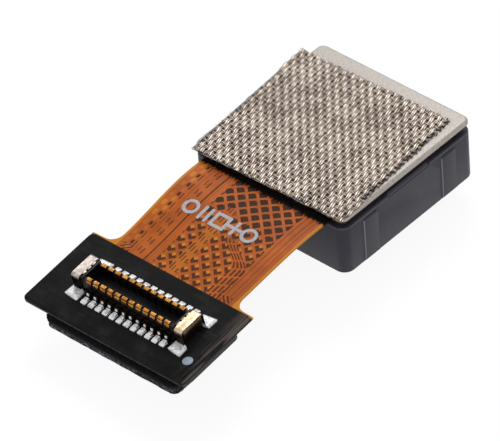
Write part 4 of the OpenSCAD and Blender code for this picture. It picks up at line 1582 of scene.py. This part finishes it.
@dataclass
class Head:
    """What carries the plug: cover film, stiffener and foam."""

    seat: Seat = Seat()
    x: float = -0.15
    y: float = -0.1
    width: float = 9.0
    depth: float = 4.3
    corner: float = 0.25
    cover: float = 0.04
    flex: float = 0.1
    stiffener_t: float = 0.22
    stiffener_r: float = 0.3
    bond: float = 0.03
    foam_t: float = 0.5
    foam_w: float = 7.5
    foam_d: float = 3.85
    foam_x: float = 0.25
    foam_y: float = -0.475
    foam_r: float = 0.4
    cell: float = 0.3
    rag: float = 0.025
    waist: float = 0.03
    insets: tuple[float, float, float, float] = (1.2, 0.0, 0.3, 0.8)
    dot: tuple[float, float] = (3.69, -1.13)

    def build(self) -> None:
        """Builds and dresses the layers."""
        self.cover_film()
        self.stiffener()
        self.foam()
        self.ink_dot()

    def cover_film(self) -> None:
        """The black film, with softened edges."""
        film = Form.slab(self.width, self.depth, self.corner, -self.cover, 0.0, 10)
        film.bevel(film.at(film.bm.edges, 0.0), 0.012, 2)
        film.moved(self.seat.matrix() @ shifted(self.x, self.y))
        (across, x), (along, y) = self.seat.course(0), self.seat.course(1)
        # the third colour is the painted sheen of the drawn edge
        finish = Cover("black_cover", tint(4, 4, 5), tint(36, 36, 37), tint(92, 82, 76),
                       tint(150, 96, 52), across, along, (x, y), self.x + self.width / 2,
                       ((-1.09, -1.64, 0.2), (1.97, -1.64, 0.2)))
        film.piece("cover_sheet", finish.material(), Slot.COVER, ["cover_film"], 40)

    def stiffener(self) -> None:
        """The laminate under the head."""
        left, right, front, back = self.insets
        top = -self.cover - self.flex
        board = Form.slab(self.width - left - right, self.depth - front - back,
                          self.stiffener_r, top - self.stiffener_t, top, 8)
        board.moved(self.seat.matrix() @ shifted(self.x + (left - right) / 2,
                                                 self.y + (front - back) / 2))
        finish = Laminate("stiffener_layers", tint(5, 5, 5), tint(13, 12, 12),
                          tint(44, 38, 36), 0.075, self.seat.course(2)[0])
        board.piece("stiffener_board", finish.material(), Slot.STIFFENER, ["stiffener"], 40)

    def foam(self) -> None:
        """The soft pad, waisted a little and ragged at its cut sides."""
        top = -self.cover - self.flex - self.stiffener_t - self.bond
        pad = Form.slab(self.foam_w, self.foam_d, self.foam_r, top - self.foam_t, top, 8)
        pad.bevel(pad.at(pad.bm.edges, top - self.foam_t), 0.12, 4)
        pad.bevel(pad.at(pad.bm.edges, top), 0.05, 2)
        cuts = [(axis, k * self.cell - reach / 2)
                for axis, reach in enumerate((self.foam_w, self.foam_d))
                for k in range(1, round(reach / self.cell))]
        for axis, step in cuts + [(2, top - 0.17), (2, top - 0.34)]:
            normal = Matrix.Identity(3).row[axis]
            pad.halved(normal * step, normal)
        rng = random.Random(11)

        def ragged(spot: Vector) -> Vector:
            """Pulls the sides in and out a little."""
            edge = max(abs(spot.x) / (self.foam_w / 2), abs(spot.y) / (self.foam_d / 2))
            if edge <= 0.9:
                return spot
            deep = min(1.0, max(0.0, (top - spot.z) / self.foam_t))
            pull = self.rag * rng.random() + self.waist * math.sin(math.pi * deep)
            share = 1 - pull / (self.foam_d / 2)
            return Vector((spot.x * share, spot.y * share, spot.z))

        pad.reshaped(ragged)
        pad.moved(self.seat.matrix() @ shifted(self.foam_x, self.foam_y))
        course, level = self.seat.course(2)
        # the level puts painted shade along the pad's top, under the head
        finish = Foam("cell_foam", tint(6, 6, 7), tint(142, 130, 148), course, level + top)
        made = pad.piece("foam_cushion", finish.material(), Slot.FOAM, ["foam_pad"], 60)

    def ink_dot(self) -> None:
        """The pale dot that marks the plug's first contact."""
        dot = Form.disc(0.225, 0.21, 0.0, 0.012, 40, self.dot).moved(self.seat.matrix())
        finish = Ink("dot_ink", tint(168, 182, 198), tint(140, 152, 166))
        dot.piece("first_contact_dot", finish.material(), Slot.COVER, (), 40)


@dataclass
class Plug:
    """The board-to-board plug: body, two rows of contacts, end fittings, solder."""

    seat: Seat = Seat()
    count: int = 12
    pitch: float = 0.4
    contact_w: float = 0.26
    contact_t: float = 0.06
    height: float = 0.87
    row_y: float = 0.45
    wall: float = 0.2
    floor: float = 0.2
    standoff: float = 0.05
    flange: float = 0.14
    tail_end: float = 1.1
    tail_under: float = 0.11
    end_wall_x: float = 2.52
    end_wall: float = 0.17
    fitting_l: float = 0.42
    fitting_t: float = 0.08
    fitting_r: float = 0.15
    foot_r: float = 0.06
    foot_out: float = 0.12
    tabs: tuple[float, ...] = (-0.29, 0.0, 0.29)
    pad: float = 0.04
    gap: float = 0.01
    solder_t: float = 0.045
    plate_t: float = 0.05

    @property
    def half_d(self) -> float:
        """Half of the body's depth over its walls."""
        return self.row_y + self.wall / 2

    def place_x(self, k: int) -> float:
        """A contact's place along its row."""
        return (k - (self.count - 1) / 2) * self.pitch

    def build(self) -> None:
        """Builds and dresses the plug."""
        self.body()
        self.contacts()
        self.fittings()
        self.solder()

    def body(self) -> None:
        """The moulding: floor, slotted long walls and end walls."""
        top = self.height - self.contact_t - self.gap
        crown = self.wall / 2 - self.gap
        out, ledge = self.half_d + self.foot_out, self.standoff + self.flange
        half = [(out, self.standoff), (out, ledge), (self.half_d, ledge)]
        half += arc(self.row_y, top - crown, crown, 0, 180, 10)
        half += [(self.row_y - crown, self.floor)]
        section = half + [(-y, z) for y, z in half[::-1]]
        body = Form.drawn(section, -self.end_wall_x, self.end_wall_x)
        body.moved(rotation(90) @ rotation(90, "X"))
        slots = Form()
        side, half_w = self.contact_t + self.gap, self.contact_w / 2 + self.gap
        for k in range(self.count):
            x = self.place_x(k)
            for row in ROWS:
                for y in (row * self.half_d, row * (self.half_d - self.wall)):
                    slots.add(Form.block((x - half_w, y - side, self.floor),
                                         (x + half_w, y + side, self.height)))
        body.carved(slots)
        near = self.end_wall_x - 0.02
        far = self.end_wall_x + self.end_wall + self.fitting_l - self.fitting_t - self.gap
        wall = Form.block((near, -self.half_d, self.standoff),
                          (far, self.half_d, self.height - self.fitting_t - self.gap), 0.02)
        rim = Form.block((near, -self.half_d, self.height - 0.2),
                         (near + 0.1, self.half_d, self.height - 0.02), 0.025, 3)
        for end in ROWS:
            body.add(wall, flipped(end))
            body.add(rim, flipped(end))
        body.moved(self.seat.matrix())
        finish = Moulded("plug_moulding", tint(7, 7, 9), tint(22, 23, 30), 0.36, 20, 0.002)
        body.piece("plug_moulding", finish.material(), Slot.PLUG, ["plug_body"], 35)

    def contact_path(self) -> list[Point]:
        """The outer face of a contact of the +Y row, from its inner leg to its tail."""
        inner, outer = self.row_y - self.wall / 2, self.half_d
        crown = self.height - self.wall / 2
        heel, foot = self.half_d + self.foot_out + self.gap + self.contact_t, self.pad
        soft = 0.05
        path = [(inner, self.floor + self.gap), (inner, crown - 0.1)]
        path += arc(self.row_y, crown, self.wall / 2, 180, 38, 12)
        path += [(outer + aside, crown + rise) for aside, rise in (
            (-0.036, 0.03), (-0.034, 0.012), (0.004, 0.0), (0.026, -0.026), (0.03, -0.07),
            (0.016, -0.1), (-0.008, -0.12))]
        path += [(outer, self.floor + 0.12)]
        path += arc(outer + soft, self.floor + 0.12, soft, 180, 270, 4)
        path += arc(heel - soft, self.floor + 0.02, soft, 90, 10, 4)
        path += [(heel + 0.01, foot + self.contact_t + 0.04)]
        path += arc(heel + 0.07, foot + self.contact_t + soft, soft, 190, 270, 4)
        return path + [(self.tail_end - self.tail_under, foot + self.contact_t)]

    def contacts(self) -> None:
        """Bends the contacts and sets out both rows."""
        strip = ribbon(self.contact_path(), self.contact_w, self.contact_t, 0.014)
        up, level = self.seat.course(2)
        # the dark colour is painted shade lower down and in the groove
        material = Plated("contact_gold", tint(226, 164, 84), tint(158, 100, 38), 0.2,
                          dark=tint(30, 20, 12), up=up, level=level, low=0.62, high=0.68,
                          groove=0.8).material()
        for name, row in zip(("contacts_front", "contacts_back"), ROWS):
            rows = Form()
            for k in range(self.count):
                rows.add(strip, shifted(self.place_x(k)) @ flipped(y=row))
            rows.moved(self.seat.matrix())
            rows.piece(f"bent_{name}", material, Slot.GOLD, [name], 40)
        strip.bm.free()

    def fitting(self) -> Form:
        """One end fitting on the +X end: cap, legs, feet, skirt and tabs."""
        x0 = self.end_wall_x + self.end_wall
        x1 = x0 + self.fitting_l
        leg, metal, top = self.half_d + 0.02, self.fitting_t, self.height
        out, foot = leg + metal, self.pad + metal
        half = arc(out - self.fitting_r, top - self.fitting_r, self.fitting_r, 90, 0, 8)
        half += arc(out + self.foot_r, foot + self.foot_r, self.foot_r, 180, 270, 4)
        half += [(self.tail_end - 0.05, foot)]
        form = Form()
        form.add(ribbon([(-y, z) for y, z in half[::-1]] + half, self.fitting_l, metal, 0.02),
                 shifted((x0 + x1) / 2))
        form.add(Form.block((x1 - metal, -leg + 0.03, top - 0.5), (x1, leg - 0.03, top - 0.02),
                            0.03, 3))
        for y in self.tabs:
            form.add(Form.block((x0 - 0.08, y - 0.1, top - metal + 0.012),
                                (x0 + 0.04, y + 0.1, top), 0.018))
        return form

    def fittings(self) -> None:
        """Sets a fitting on each end, with painted shade on the left one and painted warm light on
        the right.
        """
        up, level = self.seat.course(2)
        # one plating in two copies: the left is darkened as painted shade, the right carries
        # painted warm light from the contacts; the dark lower down is painted shade
        dull = Plated("plating_painted_shade", tint(196, 186, 178), tint(150, 140, 132), 0.42,
                      dark=tint(14, 13, 13), up=up, level=level, low=0.66, high=0.82)
        lit_plating = Plated("plating_painted_warm_light", tint(206, 196, 186), tint(196, 158, 108), 0.3,
                      dark=tint(48, 36, 24), up=up, level=level, low=0.56, high=0.82)
        for end, name, finish in zip(ROWS, ("end_fitting_left", "end_fitting_right"),
                                     (dull, lit_plating)):
            form = self.fitting().moved(flipped(end)).moved(self.seat.matrix())
            form.piece(f"bent_{name}", finish.material(), Slot.FITTING, [name], 40)

    def puddle(self, half_w: float, start: float, end: float,
               height: Callable[[float, float], float]) -> Form:
        """A wetted pad along Y.

        Args:
            half_w: half of its width.
            start: where it starts along Y.
            end: where its toe ends.
            height: its height for a place across (-1 to 1) and along (0 to 1).

        Returns:
            The closed pad on the seat's plane.
        """
        columns, rows, bulge = 10, 14, 0.05

        def place(across: float, along: float) -> tuple[float, float, float]:
            """Lays one vertex of the wetted top."""
            side = 2 * across - 1
            wide = half_w * (1 - bulge * abs(2 * along - 1) ** 8)
            long = (end - start) * (along + (0.5 - along) * bulge * side ** 8)
            return side * wide, start + long, height(side, along)

        form = Form.grid(columns, rows, place)
        skirt = bmesh.ops.extrude_edge_only(form.bm, edges=form.boundary())["geom"]
        for item in skirt:
            if isinstance(item, bmesh.types.BMVert):
                item.co.z = 0.0
        return form.filled().outward()

    def bead(self, y: float, h: float, size: Sequence[float]) -> Form:
        """A small bead of solder on a contact's heel."""
        bead = Form()
        bmesh.ops.create_uvsphere(bead.bm, u_segments=14, v_segments=9, radius=1.0,
                                  matrix=shifted(y=y, z=h) @ Matrix.Diagonal((*size, 1.0)))
        return bead

    def solder(self) -> None:
        """Wets the contact tails and the fittings' feet."""
        finish = Solder("bright_solder", tint(253, 253, 253), tint(200, 201, 204)).material()
        rng = random.Random(5)
        skin = self.pad + self.contact_t + 0.012

        def tail_top(side: float, along: float) -> float:
            """A skin over the tail that thins out past its end."""
            fall = max(0.0, (along - 0.5) / 0.5)
            crown = skin * (1 - fall) + self.solder_t * fall
            return crown - 0.03 * abs(side) ** 4 * (1 - fall)

        for name, row in zip(("solder_front", "solder_back"), ROWS):
            rows = Form()
            for k in range(self.count):
                spot = shifted(self.place_x(k)) @ flipped(y=row)
                rows.add(self.puddle(0.138 * rng.uniform(0.95, 1.0),
                                     0.83 + rng.uniform(-0.01, 0.01),
                                     1.16 + rng.uniform(-0.02, 0.01), tail_top), spot)
                rows.add(self.bead(0.765, 0.19 + rng.uniform(-0.01, 0.01),
                                   (0.075 * rng.uniform(0.9, 1.1), 0.045, 0.085)), spot)
            rows.moved(self.seat.matrix())
            rows.piece(f"reflowed_{name}", finish, Slot.SOLDER, [name], 50)
        self.corner_plates(finish, rng)

    def corner_plates(self, finish: bpy.types.Material, rng: random.Random) -> None:
        """Wets the fittings' feet: broad flat plates of solder, none quite alike."""
        rise, toe = self.pad + self.fitting_t + 0.014 - self.plate_t, 1.14

        def plate_top(side: float, along: float) -> float:
            """A skin over the foot, with a low rim round it."""
            over = (1 - ease((abs(side) - 0.72) / 0.28)) * (1 - ease((along - 0.84) / 0.16))
            return self.plate_t + rise * over

        corners = Form()
        middle = self.end_wall_x + self.end_wall + self.fitting_l / 2
        for x in ROWS:
            for y in ROWS:
                plate = self.puddle(0.37, 0.6, toe, plate_top)
                lean, cut = rng.uniform(-0.12, 0.12), rng.uniform(0.0, 0.16)
                plate.reshaped(lambda spot: Vector((
                    spot.x * (1 - cut * (toe - spot.y)), spot.y + lean * spot.x, spot.z)))
                corners.add(plate, shifted(x * middle) @ flipped(x, y))
        corners.moved(self.seat.matrix())
        corners.piece("reflowed_corners", finish, Slot.SOLDER, ["corner_solder"], 50)


@dataclass
class Carried:
    """The solids that keep their own shape and only get a finish."""

    def build(self) -> None:
        """Dresses the solids that show between and behind the detailed pieces."""
        for name, finish in self.finishes().items():
            data = bpy.data.objects[name].data
            data.materials.clear()
            data.materials.append(finish.material())
            LOG.info("%s: dressed", name)

    def finishes(self) -> dict[str, Finish]:
        """A finish for each carried solid."""
        glass = Glass("inner_glass", tint(36, 44, 66), tint(58, 50, 84))
        black = Moulded("blackened", tint(16, 16, 17), tint(30, 30, 31), 0.55)
        return {
            "lens_2": glass, "lens_3": glass, "lens_4": glass,
            "light_shields": black, "lens_retainer": black,
            "filter_bond": Moulded("filter_glue", tint(28, 26, 26), tint(48, 44, 42), 0.4),
            "infrared_filter": Glass("filter_glass", tint(120, 190, 195), tint(150, 200, 190)),
            "holder_bond": Moulded("holder_glue", tint(24, 22, 21), tint(44, 38, 34), 0.35),
            "image_sensor": Chip("sensor_die", tint(40, 52, 66), tint(88, 96, 118)),
            "bond_wires": Metal("wire_gold", tint(236, 188, 96), tint(200, 146, 60)),
            "chip_capacitors": Chip("fired_ceramic", tint(120, 96, 70), tint(176, 168, 156),
                                    0.45, 0.15),
            "sensor_board": Laminate("board_front", tint(52, 40, 30), tint(84, 62, 42),
                                     tint(150, 96, 50), 0.04),
            "back_laminate": Laminate("board_back", tint(46, 36, 28), tint(74, 56, 40),
                                      tint(140, 92, 50), 0.05),
            "plate_adhesive": Film("plate_glue", tint(60, 52, 44), tint(90, 80, 68)),
            "cloth_adhesive": ClearFilm("clear_glue", tint(90, 82, 72), tint(220, 220, 220)),
            "foam_adhesive": Film("foam_glue", tint(60, 58, 56), tint(90, 88, 84)),
        }


@dataclass
class Studio:
    """Floor, soft lamps, white surroundings and the camera."""

    azimuth: float = 44.266
    elevation: float = 40.759
    roll: float = -4.46
    distance: float = 250.0
    focal: float = 430.3
    aside: float = -3.5922
    aloft: float = -1.4969
    base: float = 0.99
    floor_size: float = 4.0
    floor_glow: float = 1.06
    floor_share: float = 0.86
    world_light: float = 0.42
    aim: tuple[float, float, float] = (0.0, -0.005, 0.002)

    def build(self) -> None:
        """Sets up the scene round the part."""
        self.floor()
        self.lamp("key", (-0.12, 0.16, 0.3), 0.14, 0.46)
        self.lamp("fill", (0.2, -0.22, 0.24), 0.2, 0.2)
        self.surroundings()
        self.camera()
        bpy.context.scene.view_settings.view_transform = "Standard"

    def floor(self) -> None:
        """A wide pale floor under the barrel, clear from below."""
        ground = Form()
        bmesh.ops.create_grid(ground.bm, x_segments=4, y_segments=4, size=self.floor_size)
        mesh = ground.mesh("floor")
        ground.bm.free()
        shader = Shader("pale_floor")
        matt = shader.node("ShaderNodeBsdfDiffuse", inputs={"Color": (0.93, 0.93, 0.93)})
        glow = shader.node("ShaderNodeEmission", inputs={"Color": (1.0, 1.0, 1.0),
                                                         "Strength": self.floor_glow})
        below = shader.out(shader.node("ShaderNodeNewGeometry"), "Backfacing")
        both = shader.either(shader.seen() * self.floor_share, matt, glow)
        mesh.materials.append(shader.close(shader.either(
            below, both, shader.node("ShaderNodeBsdfTransparent"))))
        placed("floor", mesh)

    def lamp(self, name: str, place: Sequence[float], size: float, power: float) -> None:
        """Adds a square lamp that looks at the part."""
        light = bpy.data.lights.new(name, "AREA")
        light.shape, light.size, light.energy = "SQUARE", size, power
        made = placed(name, light)
        made.location = place
        made.rotation_mode = "QUATERNION"
        made.rotation_quaternion = (Vector(self.aim) - Vector(place)).to_track_quat("-Z", "Y")

    def surroundings(self) -> None:
        """White world, dimmer for what it lights than for what it shows."""
        shader = Shader("studio_white", world=True)
        lit, shown = (shader.node("ShaderNodeBackground",
                                  inputs={"Color": colour, "Strength": strength})
                      for colour, strength in (((0.97, 0.98, 1.0), self.world_light),
                                               ((1.0, 1.0, 1.0), 1.0)))
        bpy.context.scene.world = shader.close(shader.either(shader.seen(), lit, shown), "World")

    def camera(self) -> None:
        """A long lens that looks down on the plug's end."""
        a, e, r = (math.radians(v) for v in (self.azimuth, self.elevation, self.roll))
        back = Vector((math.sin(a) * math.cos(e), -math.cos(a) * math.cos(e), math.sin(e)))
        flat = Vector((math.cos(a), math.sin(a), 0))
        rise = back.cross(flat)
        right = math.cos(r) * flat + math.sin(r) * rise
        up = -math.sin(r) * flat + math.cos(r) * rise
        spot = self.aside * right + self.aloft * up + self.distance * back
        spot.z += self.base
        turn = Matrix((right, up, back)).transposed()
        data = bpy.data.cameras.new("camera")
        data.lens, data.sensor_width = self.focal, 36.0
        data.clip_start, data.clip_end = 0.01, 20.0
        made = placed("camera", data)
        made.matrix_world = Matrix.Translation(spot * MM) @ turn.to_4x4()
        bpy.context.scene.camera = made


def main() -> None:
    """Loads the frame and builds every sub-assembly."""
    logging.basicConfig(level=logging.INFO, format="%(name)s %(message)s")
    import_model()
    for part in (Studio(), Optics(), Housing(), BackPlate(), Cloth(), Tail(), Head(), Plug(),
                 Carried()):
        LOG.info("building %s", type(part).__name__)
        part.build()
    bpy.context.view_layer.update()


if __name__ == "__main__":
    main()
